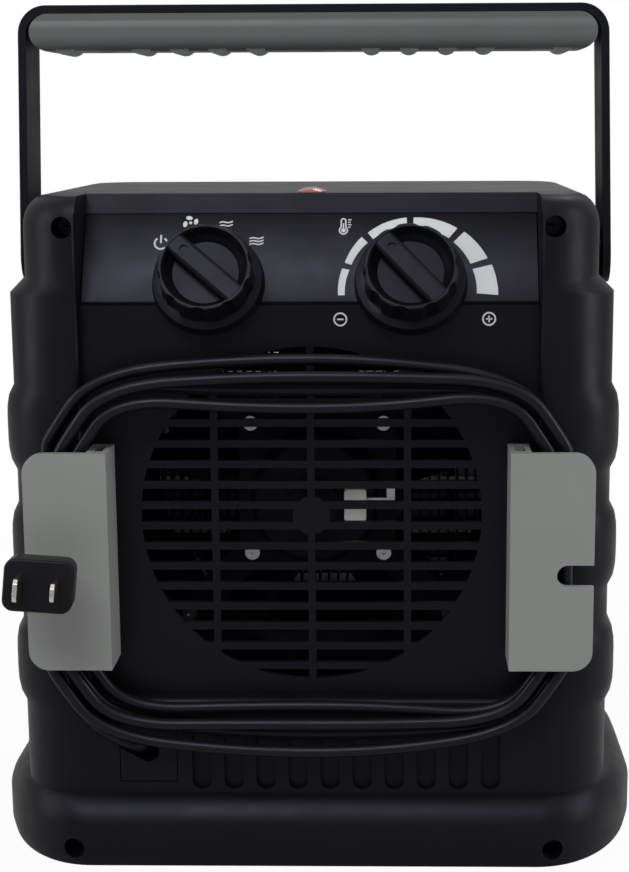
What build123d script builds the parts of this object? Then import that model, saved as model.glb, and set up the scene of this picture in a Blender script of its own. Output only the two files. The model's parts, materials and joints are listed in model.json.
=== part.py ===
from build123d import *
import os
from math import acos, cos, degrees, pi, radians, sin, sqrt, tan

# Portable ceramic space heater. Millimetres. +Z is up, -Y is the rear, where the
# knobs, the intake grille and the wound cord are, and +Y is the warm-air side.
# The origin is on the ground, below the middle of the case.

# Case
BODY_HALF = 114.5        # half width in the valleys between the side bulges
UPPER_HALF = 108.6       # half width beside the handle arms
BULGE = 3.0              # how far a side bulge stands out
BULGE_HEIGHT = 33.0
BULGE_PITCH = 46.2
BULGE_TOP_Z = 168.0      # middle of the highest bulge
BULGE_COUNT = 3
BULGE_STEPS = 8          # slices that round off one bulge
BODY_TOP = 256.0
REAR_Y = -78.0           # rear face of the pillars and of the skirt
FRONT_Y = 80.0
CORNER_R = 24.0          # corners of the case in plan
SHOULDER_LOW = 219.5     # the sides step in between these heights
SHOULDER_HIGH = 225.5
CROWN_RISE = 12.0        # height of the rounded top corners
CROWN_RUN = 9.0          # how far the rounded top corners reach inwards
CROWN_EDGE = 8.0         # the same for the rear and front top edges
CROWN_STEPS = 7
WALL = 2.6
PARTING_Y = -32.0        # where the rear cover meets the front housing

# Base
BASE_HALF = 128.6
BASE_REAR_Y = -87.0
BASE_FRONT_Y = 92.0
BASE_CORNER_RUN = 43.0   # the base's corners in plan are oval: this wide
BASE_CORNER_DEPTH = 70.0 # and this deep
BASE_BOTTOM = 0.5
BASE_RIM = 4.5           # top of the bevelled lower rim
BASE_RIM_INSET = 1.0
BASE_SHELF = 16.4        # where the sloped top of the base starts
BASE_TOP = 27.0
SLOPE_FULLNESS = 1.5     # 1 is a flat slope, 2 is a quarter round
SLOPE_STEPS = 6
FLOOR_THICK = 3.6

# Recessed middle of the rear
RECESS_HALF = 85.2
RECESS_FLOOR_Y = -72.0
RECESS_LOW = 65.0
PILLAR_ROUND = 2.5       # rounding of the pillars' inner edges
ROUND_EASE = 0.2         # the rounding meets the faces at a slight angle

# Control panel
PANEL_LOW = 215.7
PANEL_HIGH = 248.7
PANEL_RUN = 18.0         # how far its upper edge lies further in
BAND_LEAN = 2.5          # the band above the panel leans back by this much
PANEL_THICK = 2.6
PANEL_LIP = 2.0          # ledge of the cover that the panel lies on
PANEL_LIP_WIDTH = 2.0
PANEL_GAP = 0.2
KNOB_X = 37.6
KNOB_UP = 8.7            # knob axis above the panel's lower edge, along the slope

# Intake grille
GRILLE_Z = 135.8
GRILLE_R = 64.5
RIB_PITCH = 7.9
RIB_WIDTH = 2.9
SLOT_REACH = 8           # slots above and below the middle one
GRILLE_BAR_X = 36.4
GRILLE_BAR_WIDTH = 2.8
GRILLE_HUB = 14.0        # across the flats of the eight-sided middle

# Grooved skirt below the recess
GROOVE_COUNT = 10
GROOVE_PITCH = 12.36
GROOVE_FIRST_X = -42.9
GROOVE_WIDTH = 7.4
GROOVE_LOW = 28.6
GROOVE_HIGH = 55.0
GROOVE_DEPTH = 2.6

# Handle
STRAP_HALF = 113.9       # outside of the arms at the top
ARM_HALF = 116.6         # outside of the arms at the pivots
STRAP_THICK = 3.2
STRAP_WIDTH = 25.4
STRAP_TOP = 327.0
STRAP_BEND_R = 11.0
PIVOT_Y = -14.0
PIVOT_Z = 231.5
PIVOT_BOSS_R = 10.0
PIN_R = 4.0
PIN_HEAD_R = 5.5
PIN_HEAD = 1.2
PIN_TAIL = 6.0           # pin inside the case
PIVOT_NUT_FLATS = 11.5
RUN_CLEARANCE = 0.05     # radial play of a turning fit
SIDE_CLEARANCE = 0.3     # play beside a turning part
POCKET_CLEARANCE = 1.3   # round the arm's end in the side of the case
GRIP_HEIGHT = 14.2
GRIP_WIDTH = 27.0
GRIP_ROUND = 6.0
BUMP_PITCH = 14.85
BUMP_COUNT = 6           # places for bumps on each side of the middle
BUMP_FIRST_X = 22.3
BUMP_R = 4.6
BUMP_DROP = 1.3
GRIP_SCREW_X = 81.7
GRIP_SCREW_R = 3.6

# Knobs
SKIRT_R = 21.0
SKIRT_TOP_R = 20.2
SKIRT_HEIGHT = 4.8
COLLAR_R = 17.7
RIM_R = 17.1
RIM_HEIGHT = 16.2
DISH_R = 15.4            # hollow face inside the rim
DISH_FLOOR = 10.4
POINTER_WIDTH = 8.5
POINTER_HEIGHT = 16.0
KNOB_LIFT = 0.8          # air below the skirt
FLUTE_COUNT = 10
FLUTE_R = 5.0
FLUTE_DEPTH = 0.9
SHAFT_R = 3.0
BUSHING_R = 4.6
BUSHING_OUT = 4.4        # bushing in front of the panel
BUSHING_GAP = 0.1
NECK_R = 6.4             # shoulder behind the panel
NECK_DEPTH = 10.0        # depth of the switch bodies behind the panel's face
SWITCH_R = 11.0
SWITCH_LENGTH = 15.0
THERMOSTAT_R = 12.5
THERMOSTAT_LENGTH = 13.0
SHAFT_IN = 12.0          # shaft inside the switch, behind the panel's face
SHAFT_OUT = 8.6
TAB_WIDTH = 6.3          # connection tabs of the switches
TAB_THICK = 0.8
TAB_LENGTH = 8.0
KNOB_HOLLOW_R = 8.0
KNOB_HOLLOW = 5.2
SHAFT_FIT = 0.04
DIMPLE_R = 1.7
DIMPLE_DEPTH = 0.7
NUT_FLATS = 11.0
NUT_THICK = 2.2
MODE_REST = 48.0         # pointer at rest, degrees left of straight up
THERMOSTAT_REST = 42.0

# Cord brackets
POST_IN = 74.0
POST_OUT = 81.8
FLANGE_OUT = 105.0
FLANGE_Y = -92.0         # outer face
FLANGE_THICK = 3.0
BRACKET_LOW = 81.0
BRACKET_HIGH = 163.5
FLANGE_ROUND = 7.5
POST_WALL = 2.1
POST_POCKET = 15.0       # depth of the hollow ends of a post
BRACKET_SCREW_SPREAD = 18.0
BRACKET_SCREW_R = 1.5
BRACKET_SCREW_HEAD_R = 3.0
BRACKET_SCREW_BITE = 9.0
NOTCH_Z = 117.5
NOTCH_WIDTH = 8.2
NOTCH_DEPTH = 13.6

# Cord and plug
CORD_D = 4.4
CORD_LAYER_GAP = 0.5     # between the two layers of turns
CORD_CLEARANCE = 0.4     # from the case
CORD_TURNS = 4
CORD_SIDE_X = 98.2       # outermost turn beside the posts
CORD_SIDE_STEP = 5.3     # one turn further in
CORD_CORNER_STEP = 3.0   # an outer turn bends that much further from the post's end
CORD_TOP_Z = 199.5
CORD_TOP_STEP = 11.5
CORD_BOTTOM_Z = 44.0
CORD_BOTTOM_STEP = 11.0
CORD_CORNER_R = 15.0     # bend at the ends of the posts
CORD_CORNER_TURN = 35.0  # degrees
GLAND_X = -63.5
GLAND_Z = 43.6
GLAND_LOW = 31.5
GLAND_HIGH = 56.0
GLAND_HALF = 11.2
GLAND_SEAT_Y = -64.0     # where the cord starts in the gland
GLAND_GAP = 0.25
GLAND_THICK = 6.0        # gland behind the cord's seat
LEAD_RISE = 30.0         # degrees, where the cord leaves the gland to the left
MOUTH_REACH = 9.0        # the mouth slants up and to the left
MOUTH_WIDTH = 8.0
TAIL_BEND_R = 7.0
PLUG_STANDOFF = 6.0      # cord between the bend and the plug
PLUG_TURN = 6.5          # the parked plug points inwards and up, degrees
PLUG_RISE = 8.0
PLUG_ROLL = 5.5
PLUG_NECK = 8.0
PLUG_NECK_TOP_R = 6.5
PLUG_LENGTH = 17.0
PLUG_WIDTH = 24.6
PLUG_HEIGHT = 18.8
PLUG_ROUND = 4.0
PLUG_NECK_R = 3.0
BLADE_SPACING = 12.7
BLADE_THICK = 1.5
BLADE_LENGTH = 16.0
BLADE_HEIGHTS = (7.9, 6.3)

# Screws of the case
CASE_SCREW_X = 90.2
CASE_SCREW_Z = 244.7
BASE_SCREW_X = 92.0
BASE_SCREW_Z = 7.6
SCREW_HOLE_R = 4.0
SCREW_SHANK_R = 1.75
SCREW_HEAD_R = 3.4
SCREW_HEAD = 2.4
SCREW_HEAD_DEPTH = 14.0  # head below the rear face
SCREW_BITE = 16.0        # thread in the front housing
BOSS_HALF = 5.0
BOSS_REACH = 9.0         # from a case screw to the wall that carries its boss

# Blower and heater, along the fan's axis
SHROUD_Y = -13.0         # front face of the shroud's plate
SHROUD_THICK = 3.0
SHROUD_HALF = 110.0
SHROUD_LOW = 58.0
SHROUD_HIGH = 209.0
DUCT_R = 70.0
DUCT_WALL = 2.4
DUCT_LENGTH = 30.0
RIB_REACH = 10.0         # ribs inside the side walls that carry shroud and heater
RIB_DEPTH = 4.0
RIB_SCREW_X = 106.0
RIB_SCREW_SPREAD = 48.0
RIB_SCREW_R = 1.5
RIB_SCREW_HEAD_R = 3.0
FAN_R = 66.0
FAN_HUB_R = 20.0
FAN_Y = -6.0             # rear of the hub
FAN_DEPTH = 18.0
FAN_BLADES = 5
BLADE_CHORD = 36.0
BLADE_PITCH_ANGLE = 28.0
FAN_BLADE_THICK = 2.0
MOTOR_R = 25.0
MOTOR_LENGTH = 30.0
MOTOR_CAP = 6.0
MOTOR_FLANGE_HALF = 32.0
MOTOR_FLANGE = 2.5
MOTOR_SCREW_X = 26.9
MOTOR_SHAFT_R = 2.5
COIL_X = 16.2            # bobbin on the rear of the motor
COIL_WIDTH = 8.6
COIL_HEIGHT = 12.6
COIL_DEPTH = 6.0
COIL_TAB_REACH = 31.6    # end of the bobbin's terminal
COIL_TAB_LENGTH = 3.2
COIL_TAB_HEIGHT = 5.2
COIL_TAB_Z = 139.2
COIL_STRIP = 1.2
MOUNT_THICK = 3.0
MOUNT_ARM = 12.0
MOUNT_REACH = 82.0       # length of a mount arm from the axis
MOUNT_ARMS = 4
HEATER_Y = 26.0          # rear of the heater frame
HEATER_DEPTH = 18.0
HEATER_HALF = 92.0
HEATER_LUG_HALF = 110.0
HEATER_LUG = 12.0
HEATER_HALF_HEIGHT = 66.0
HEATER_BORDER = 9.0
PTC_ROWS = 5
PTC_THICK = 3.0
PTC_INSET = 1.0          # bars and fins stop short of the frame's faces
FIN_PITCH = 4.0
FIN_THICK = 0.7

# Outlet grille
OUTLET_HALF = 92.0
OUTLET_LOW = 62.0
OUTLET_HIGH = 206.0
OUTLET_ROUND = 14.0
OUTLET_BORDER = 6.0
OUTLET_GAP = 0.3
OUTLET_PROUD = 2.5
OUTLET_FLANGE = 4.0      # rim that lies on the housing's front
SLAT_COUNT = 14
SLAT_THICK = 2.6
SLAT_DEPTH = 9.0         # depth of the sleeve behind the rim, which the slats fill
SLAT_WIDTH = 9.5
SLAT_TILT = 40.0         # the slats lead the air upwards
STILE_COUNT = 5
STILE_WIDTH = 3.0

# Base fittings
FOOT_R = 8.0
FOOT_STEM_R = 2.5
FOOT_STEM = 5.0
FOOT_SINK = 1.5          # foot in the base's underside
FOOT_X = 104.0
FOOT_REAR_Y = -62.0
FOOT_FRONT_Y = 66.0
FOOT_FIT = 0.1
PLUNGER_R = 3.5
PLUNGER_X = 50.0
PLUNGER_Y = 20.0
PLUNGER_GROUND = 0.3     # air below the plunger
PLUNGER_TRAVEL = 3.0
PLUNGER_LENGTH = 12.0
TIP_HALF = 9.0
TIP_HEIGHT = 18.0

TERMINAL_X = -30.0
TERMINAL_Y = -24.0
TERMINAL_LENGTH = 36.0
TERMINAL_WIDTH = 16.0
TERMINAL_HEIGHT = 12.0
TERMINAL_WAYS = 4
CUTOUT_X = 60.0
CUTOUT_DEPTH = 5.0

# Top lamp
LENS_Y = -44.0
LENS_R = 5.6
LENS_STEM_R = 4.0
LENS_RISE = 2.0
LENS_EDGE = 0.5
LENS_STEM = 9.0
LAMP_R = 2.6
LAMP_LENGTH = 11.0

JOIN = 0.02              # sunk depth where two forms of one solid are joined

PANEL_ANGLE = degrees(acos((PANEL_HIGH - PANEL_LOW)
                           / sqrt(PANEL_RUN ** 2 + (PANEL_HIGH - PANEL_LOW) ** 2)))
PANEL_SLOPE = sqrt(PANEL_RUN ** 2 + (PANEL_HIGH - PANEL_LOW) ** 2)
FAR = 400.0              # reach of cutting tools beyond the object

os.makedirs("parts", exist_ok=True)


def plan(z, half, rear, front, radius):
    """Rounded rectangle of the case at height z."""
    middle = (rear + front) / 2
    sketch = RectangleRounded(2 * half, front - rear, radius)
    return Pos(0, middle, z) * sketch


def block(x0, x1, y0, y1, z0, z1):
    """Box between two corners."""
    centre = Pos((x0 + x1) / 2, (y0 + y1) / 2, (z0 + z1) / 2)
    return centre * Box(abs(x1 - x0), abs(y1 - y0), abs(z1 - z0))


def rod_y(x, z, radius, y0, y1):
    """Round bar along Y."""
    return Pos(x, (y0 + y1) / 2, z) * Rot(90, 0, 0) * Cylinder(radius, abs(y1 - y0))


def rod_x(y, z, radius, x0, x1):
    """Round bar along X."""
    return Pos((x0 + x1) / 2, y, z) * Rot(0, 90, 0) * Cylinder(radius, abs(x1 - x0))


def rod_z(x, y, radius, z0, z1):
    """Round bar along Z."""
    return Pos(x, y, (z0 + z1) / 2) * Cylinder(radius, abs(z1 - z0))


def side_prism(points, x0, x1):
    """Prism along X over an outline of (y, z) points."""
    outline = Plane.YZ * make_face(Polyline(*points, close=True))
    return Pos(x0, 0, 0) * extrude(outline, amount=x1 - x0, dir=(1, 0, 0))


def upright(y, sketch):
    """Sketch of (x, z) places, set upright at a depth, facing the rear."""
    return Pos(0, y, 0) * (Plane.XZ * sketch)


def side_profile(bulge):
    """Heights and half widths up the sides of the case."""
    levels = [(BASE_TOP, BODY_HALF)]
    for index in range(BULGE_COUNT - 1, -1, -1):
        middle = BULGE_TOP_Z - index * BULGE_PITCH
        for step in range(BULGE_STEPS + 1):
            share = 2 * step / BULGE_STEPS - 1
            lift = bulge * (1 - share ** 4)
            levels.append((middle + share * BULGE_HEIGHT / 2, BODY_HALF + lift))
    levels.append((SHOULDER_LOW, BODY_HALF))
    levels.append((SHOULDER_HIGH, UPPER_HALF))
    return levels


def case_block(inset, rear, bulge):
    """The case as a full solid, or its hollow when inset by the wall."""
    faces = []
    radius = CORNER_R - inset
    front = FRONT_Y - inset
    for z, half in side_profile(bulge):
        faces.append(plan(z, half - inset, rear, front, radius))
    for step in range(CROWN_STEPS + 1):
        turn = radians(90 * step / CROWN_STEPS)
        z = BODY_TOP - inset - CROWN_RISE * (1 - sin(turn))
        side = UPPER_HALF - inset - CROWN_RUN * (1 - cos(turn))
        edge = CROWN_EDGE * (1 - cos(turn))
        faces.append(plan(z, side, rear + edge, front - edge, radius - edge))
    return loft(faces, ruled=True)


def base_plan(z, share, inset):
    """Outline of the base at height z: share 1 is the full base, share 0 the case above it."""
    half = BODY_HALF + share * (BASE_HALF - BODY_HALF) - inset
    rear = REAR_Y + share * (BASE_REAR_Y - REAR_Y) + inset
    front = FRONT_Y + share * (BASE_FRONT_Y - FRONT_Y) - inset
    run = CORNER_R + share * (BASE_CORNER_RUN - CORNER_R) - inset
    depth = CORNER_R + share * (BASE_CORNER_DEPTH - CORNER_R) - inset
    x = half - run
    corners = [(x, rear + depth, 270), (x, front - depth, 0), (-x, front - depth, 90), (-x, rear + depth, 180)]
    arcs = [EllipticalCenterArc((cx, cy), run, depth, start, arc_size=90) for cx, cy, start in corners]
    edges = []
    for arc, following in zip(arcs, arcs[1:] + arcs[:1]):
        edges += [arc, Line(arc @ 1, following @ 0)]
    return Pos(0, 0, z) * make_face(edges)


def base_block():
    """The flared base as a full solid."""
    levels = [base_plan(BASE_BOTTOM, 1, BASE_RIM_INSET), base_plan(BASE_RIM, 1, 0)]
    for step in range(SLOPE_STEPS + 1):
        rise = sin(radians(90 * step / SLOPE_STEPS))
        share = (1 - rise ** SLOPE_FULLNESS) ** (1 / SLOPE_FULLNESS)
        levels.append(base_plan(BASE_SHELF + rise * (BASE_TOP - BASE_SHELF), share, 0))
    return loft(levels, ruled=True)


def panel_line(depth):
    """Lower and upper (y, z) ends of a line parallel to the panel, depth behind its face."""
    away = radians(PANEL_ANGLE)
    shift_y = depth * cos(away)
    shift_z = -depth * sin(away)
    low = (RECESS_FLOOR_Y + shift_y, PANEL_LOW + shift_z)
    high = (RECESS_FLOOR_Y + PANEL_RUN + shift_y, PANEL_HIGH + shift_z)
    return low, high


def along_panel(depth, distance):
    """(y, z) of a point that far up the slope from the panel's lower edge."""
    low, high = panel_line(depth)
    share = distance / PANEL_SLOPE
    return low[0] + share * (high[0] - low[0]), low[1] + share * (high[1] - low[1])


def panel_slab(half, depth0, depth1, distance0, distance1):
    """Slab parallel to the panel, between two depths and two distances up the slope."""
    corners = [along_panel(depth0, distance0), along_panel(depth0, distance1),
               along_panel(depth1, distance1), along_panel(depth1, distance0)]
    return side_prism(corners, -half, half)


def knob_plane(x):
    """Plane on the panel's face at a knob, with Z along the knob's axis and Y up the slope."""
    y, z = along_panel(0, KNOB_UP)
    away = radians(PANEL_ANGLE)
    return Plane(origin=(x, y, z), x_dir=(1, 0, 0), z_dir=(0, -cos(away), sin(away)))


SCREW_PLACES = [
    (CASE_SCREW_X, CASE_SCREW_Z, REAR_Y),
    (-CASE_SCREW_X, CASE_SCREW_Z, REAR_Y),
    (BASE_SCREW_X, BASE_SCREW_Z, BASE_REAR_Y),
    (-BASE_SCREW_X, BASE_SCREW_Z, BASE_REAR_Y),
]
FOOT_PLACES = [(side * FOOT_X, y) for y in (FOOT_REAR_Y, FOOT_FRONT_Y) for side in (-1, 1)]
FLOOR_TOP = BASE_BOTTOM + FLOOR_THICK
FLOOR_INNER_Y = RECESS_FLOOR_Y + WALL
CAVITY_BACK = PANEL_THICK + PANEL_LIP


def case_hollow():
    """The space inside the case, clear of the panel and its ledge."""
    floor = plan(FLOOR_TOP, BODY_HALF - WALL, FLOOR_INNER_Y, FRONT_Y - WALL, CORNER_R - WALL)
    space = case_block(WALL, FLOOR_INNER_Y, 0) + extrude(floor, amount=BASE_TOP - FLOOR_TOP + JOIN)
    low = along_panel(CAVITY_BACK, -PANEL_SLOPE)
    high = along_panel(CAVITY_BACK, 2 * PANEL_SLOPE)
    behind_panel = side_prism([low, high, (-FAR, high[1]), (-FAR, low[1])], -FAR, FAR)
    return space - behind_panel


def rounding_strip(length_from, length_to):
    """Tool that rounds off the inner edge of the right-hand pillar."""
    edge = block(RECESS_HALF, RECESS_HALF + PILLAR_ROUND, REAR_Y - PILLAR_ROUND,
                 REAR_Y + PILLAR_ROUND, length_from, length_to)
    return edge - rod_z(RECESS_HALF + PILLAR_ROUND, REAR_Y + PILLAR_ROUND, PILLAR_ROUND + ROUND_EASE,
                        length_from, length_to)


def recess_tool():
    """What is taken away between the pillars, with the rounded edges."""
    back = RECESS_FLOOR_Y + PANEL_RUN
    outline = [(-FAR, RECESS_LOW), (RECESS_FLOOR_Y, RECESS_LOW), (RECESS_FLOOR_Y, PANEL_LOW),
               (back, PANEL_HIGH), (back + BAND_LEAN, BODY_TOP), (back + BAND_LEAN, FAR), (-FAR, FAR)]
    strip = rounding_strip(RECESS_LOW, BODY_TOP + 1)
    ledge = block(-RECESS_HALF, RECESS_HALF, REAR_Y - PILLAR_ROUND, REAR_Y + PILLAR_ROUND,
                  RECESS_LOW - PILLAR_ROUND, RECESS_LOW)
    ledge -= rod_x(REAR_Y + PILLAR_ROUND, RECESS_LOW - PILLAR_ROUND, PILLAR_ROUND + ROUND_EASE,
                   -RECESS_HALF, RECESS_HALF)
    return side_prism(outline, -RECESS_HALF, RECESS_HALF) + strip + strip.mirror(Plane.YZ) + ledge


def grille_tool():
    """The slots of the round intake grille."""
    slot = RIB_PITCH - RIB_WIDTH
    depth = 2 * WALL
    rows = [block(-GRILLE_R, GRILLE_R, RECESS_FLOOR_Y - depth, FLOOR_INNER_Y + depth,
                  GRILLE_Z + row * RIB_PITCH - slot / 2, GRILLE_Z + row * RIB_PITCH + slot / 2)
            for row in range(-SLOT_REACH, SLOT_REACH + 1)]
    disc = rod_y(0, GRILLE_Z, GRILLE_R, RECESS_FLOOR_Y - depth, FLOOR_INNER_Y + depth)
    bars = [block(x - GRILLE_BAR_WIDTH / 2, x + GRILLE_BAR_WIDTH / 2, -FAR, 0,
                  GRILLE_Z - GRILLE_R, GRILLE_Z + GRILLE_R)
            for x in (-GRILLE_BAR_X, 0, GRILLE_BAR_X)]
    hub_face = Pos(0, GRILLE_Z) * RegularPolygon(GRILLE_HUB / 2, 8, major_radius=False, rotation=22.5)
    hub = extrude(upright(0, hub_face), amount=FAR, both=True)
    return [(row & disc) - bars - hub for row in rows]


def groove_tools():
    """Blind upright grooves in the skirt."""
    tools = []
    radius = GROOVE_WIDTH / 2
    for index in range(GROOVE_COUNT):
        x = GROOVE_FIRST_X + index * GROOVE_PITCH
        tools.append(block(x - radius, x + radius, REAR_Y - 1, REAR_Y + GROOVE_DEPTH,
                           GROOVE_LOW + radius, GROOVE_HIGH - radius))
        for z in (GROOVE_LOW + radius, GROOVE_HIGH - radius):
            tools.append(rod_y(x, z, radius, REAR_Y - 1, REAR_Y + GROOVE_DEPTH))
    return tools


def boss_range(z):
    """Lowest and highest point of a screw boss, which reaches the nearest wall."""
    if z > BODY_TOP / 2:
        return z - BOSS_HALF, z + BOSS_REACH
    return FLOOR_TOP - JOIN, z + BOSS_HALF


def screw_boss(x, z, y0, y1):
    """Square boss round a case screw."""
    low, high = boss_range(z)
    return block(x - BOSS_HALF, x + BOSS_HALF, y0, y1, low, high)


def head_seat(face_y):
    """Where the head of a case screw bears, below a rear face."""
    return face_y + SCREW_HEAD_DEPTH + SCREW_HEAD


def rear_cover():
    """Rear half of the case."""
    half = base_block() + case_block(0, REAR_Y, BULGE) - case_hollow()
    half &= block(-FAR, FAR, -FAR, PARTING_Y, -FAR, FAR)
    half -= recess_tool()
    half -= panel_slab(RECESS_HALF, 0, PANEL_THICK, 0, PANEL_SLOPE)
    half -= panel_slab(RECESS_HALF - PANEL_LIP_WIDTH, 0, 2 * CAVITY_BACK, PANEL_LIP_WIDTH,
                       PANEL_SLOPE - PANEL_LIP_WIDTH)
    half -= grille_tool()
    half -= groove_tools()
    half -= block(GLAND_X - GLAND_HALF, GLAND_X + GLAND_HALF, -FAR, FLOOR_INNER_Y + 1,
                  GLAND_LOW, GLAND_HIGH)
    half -= rod_z(0, LENS_Y, LENS_STEM_R + GLAND_GAP, PANEL_LOW, FAR)
    for x, z, face_y in SCREW_PLACES:
        half += screw_boss(x, z, FLOOR_INNER_Y if face_y == BASE_REAR_Y else head_seat(face_y), PARTING_Y)
        half -= rod_y(x, z, SCREW_HOLE_R, face_y - 1, head_seat(face_y))
        half -= rod_y(x, z, SCREW_SHANK_R + SHAFT_FIT, face_y, PARTING_Y + 1)
    for x, y, z in bracket_screw_places():
        half -= rod_y(x, z, BRACKET_SCREW_R + SHAFT_FIT, RECESS_FLOOR_Y - 1, FLOOR_INNER_Y + 1)
    for x, y in FOOT_PLACES:
        half -= rod_z(x, y, FOOT_R + FOOT_FIT, 0, BASE_BOTTOM + FOOT_SINK)
        half -= rod_z(x, y, FOOT_STEM_R + FOOT_FIT, 0, FOOT_STEM + BASE_BOTTOM)
    return half


def front_housing():
    """Front half of the case, with the ribs that carry the blower and the heater."""
    half = base_block() + case_block(0, REAR_Y, BULGE)
    pocket = rod_x(PIVOT_Y, PIVOT_Z, STRAP_WIDTH / 2 + POCKET_CLEARANCE, UPPER_HALF, FAR)
    half -= [pocket, pocket.mirror(Plane.YZ)]
    half -= case_hollow()
    half &= block(-FAR, FAR, PARTING_Y, FAR, -FAR, FAR)
    inner = BODY_HALF - WALL
    for side in (-1, 1):
        for y in (SHROUD_Y, HEATER_Y + HEATER_DEPTH):
            half += block(side * (inner - RIB_REACH), side * (inner + JOIN), y, y + RIB_DEPTH,
                          SHROUD_LOW, SHROUD_HIGH)
        half += rod_x(PIVOT_Y, PIVOT_Z, PIVOT_BOSS_R, side * (UPPER_HALF - JOIN),
                      side * (ARM_HALF - STRAP_THICK - 2 * SIDE_CLEARANCE))
        half -= rod_x(PIVOT_Y, PIVOT_Z, PIN_R + RUN_CLEARANCE, side * (UPPER_HALF - 2 * WALL), side * FAR)
    opening = Pos(0, (OUTLET_LOW + OUTLET_HIGH) / 2) * RectangleRounded(
        2 * OUTLET_HALF, OUTLET_HIGH - OUTLET_LOW, OUTLET_ROUND)
    half -= extrude(upright(FRONT_Y + 1, opening), amount=2 * WALL)
    for x, z, face_y in SCREW_PLACES:
        half += screw_boss(x, z, PARTING_Y, PARTING_Y + SCREW_BITE + BOSS_HALF / 2)
        half -= rod_y(x, z, SCREW_SHANK_R + SHAFT_FIT, PARTING_Y, PARTING_Y + SCREW_BITE)
    for x, y, z in rib_screw_places():
        half -= rod_y(x, z, RIB_SCREW_R + SHAFT_FIT, y, y + RIB_DEPTH)
    for x, y in FOOT_PLACES:
        half -= rod_z(x, y, FOOT_R + FOOT_FIT, 0, BASE_BOTTOM + FOOT_SINK)
        half -= rod_z(x, y, FOOT_STEM_R + FOOT_FIT, 0, FOOT_STEM + BASE_BOTTOM)
    half -= rod_z(PLUNGER_X, PLUNGER_Y, PLUNGER_R + RUN_CLEARANCE, 0, FLOOR_TOP + 1)
    return half


def control_panel():
    """Inclined plate that carries the two controls."""
    half = RECESS_HALF - PANEL_GAP
    plate = panel_slab(half, 0, PANEL_THICK, 0, PANEL_SLOPE - PANEL_GAP)
    for x in (-KNOB_X, KNOB_X):
        plate -= knob_plane(x) * Cylinder(BUSHING_R + BUSHING_GAP, 4 * PANEL_THICK)
    return plate


def bracket_screw_places():
    """Head seats of the screws that hold the cord brackets, inside the cover."""
    x = (POST_IN + POST_OUT) / 2
    middle = (BRACKET_LOW + BRACKET_HIGH) / 2
    return [(side * x, FLOOR_INNER_Y, middle + lift * BRACKET_SCREW_SPREAD)
            for side in (-1, 1) for lift in (-1, 1)]


def rib_screw_places():
    """Front ends of the screws through the shroud and through the heater's lugs."""
    places = []
    for y in (SHROUD_Y, HEATER_Y + HEATER_DEPTH):
        for side in (-1, 1):
            for lift in (-1, 1):
                places.append((side * RIB_SCREW_X, y, GRILLE_Z + lift * RIB_SCREW_SPREAD))
    return places


def screw_y(x, y_head, z, head_radius, head, shank_radius, y_tip):
    """Screw along Y whose head bears at y_head and whose shank ends at y_tip."""
    way = 1 if y_tip > y_head else -1
    body = rod_y(x, z, head_radius, y_head - way * head, y_head)
    body += rod_y(x, z, shank_radius, y_head - way * JOIN, y_tip)
    return body - rod_y(x, z, head_radius * 0.3, y_head - way * (head + 1), y_head - way * head * 0.5)


def case_screws():
    """Four long screws that hold the two halves of the case together."""
    return [screw_y(x, head_seat(face_y), z, SCREW_HEAD_R, SCREW_HEAD, SCREW_SHANK_R,
                    PARTING_Y + SCREW_BITE - 1) for x, z, face_y in SCREW_PLACES]


def strap_outline(inset):
    """Arched (x, z) outline of the handle, with arms that spread towards the pivots."""
    low = PIVOT_Z - STRAP_WIDTH - inset
    spread = (ARM_HALF - STRAP_HALF) / (STRAP_TOP - PIVOT_Z)
    foot = STRAP_HALF - inset + spread * (STRAP_TOP - low)
    head = STRAP_HALF - inset + spread * inset
    top = STRAP_TOP - inset
    outline = make_face(Polyline((-foot, low), (foot, low), (head, top), (-head, top), close=True))
    return fillet(outline.vertices().group_by(Axis.Y)[-1], STRAP_BEND_R - inset)


def handle_strap():
    """Flat strap bent to a U, with rounded ends on the pivots."""
    arch = strap_outline(0) - strap_outline(STRAP_THICK)
    strap = extrude(upright(PIVOT_Y, arch), amount=STRAP_WIDTH / 2, both=True)
    side = block(-FAR, FAR, PIVOT_Y - STRAP_WIDTH / 2, PIVOT_Y + STRAP_WIDTH / 2, PIVOT_Z, FAR)
    side += rod_x(PIVOT_Y, PIVOT_Z, STRAP_WIDTH / 2, -FAR, FAR)
    strap &= side
    strap -= rod_x(PIVOT_Y, PIVOT_Z, PIN_R + RUN_CLEARANCE, -FAR, FAR)
    for way in (-1, 1):
        strap -= rod_x(PIVOT_Y, PIVOT_Z, PIN_HEAD_R + SIDE_CLEARANCE,
                       way * (ARM_HALF - PIN_HEAD - SIDE_CLEARANCE), way * FAR)
    for x in GRIP_SCREW_PLACES:
        strap -= rod_z(x, PIVOT_Y, RIB_SCREW_R + SHAFT_FIT, STRAP_TOP - 2 * STRAP_THICK,
                       STRAP_TOP - STRAP_THICK / 3)
    return strap


GRIP_TOP = STRAP_TOP - STRAP_THICK
GRIP_LOW = GRIP_TOP - GRIP_HEIGHT
GRIP_HALF = STRAP_HALF - STRAP_BEND_R + GRIP_HEIGHT / 2 - SIDE_CLEARANCE
GRIP_SCREW_PLACES = (-GRIP_SCREW_X, 0, GRIP_SCREW_X)
GRIP_SCREW_SEAT = GRIP_TOP - GRIP_HEIGHT / 3


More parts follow.
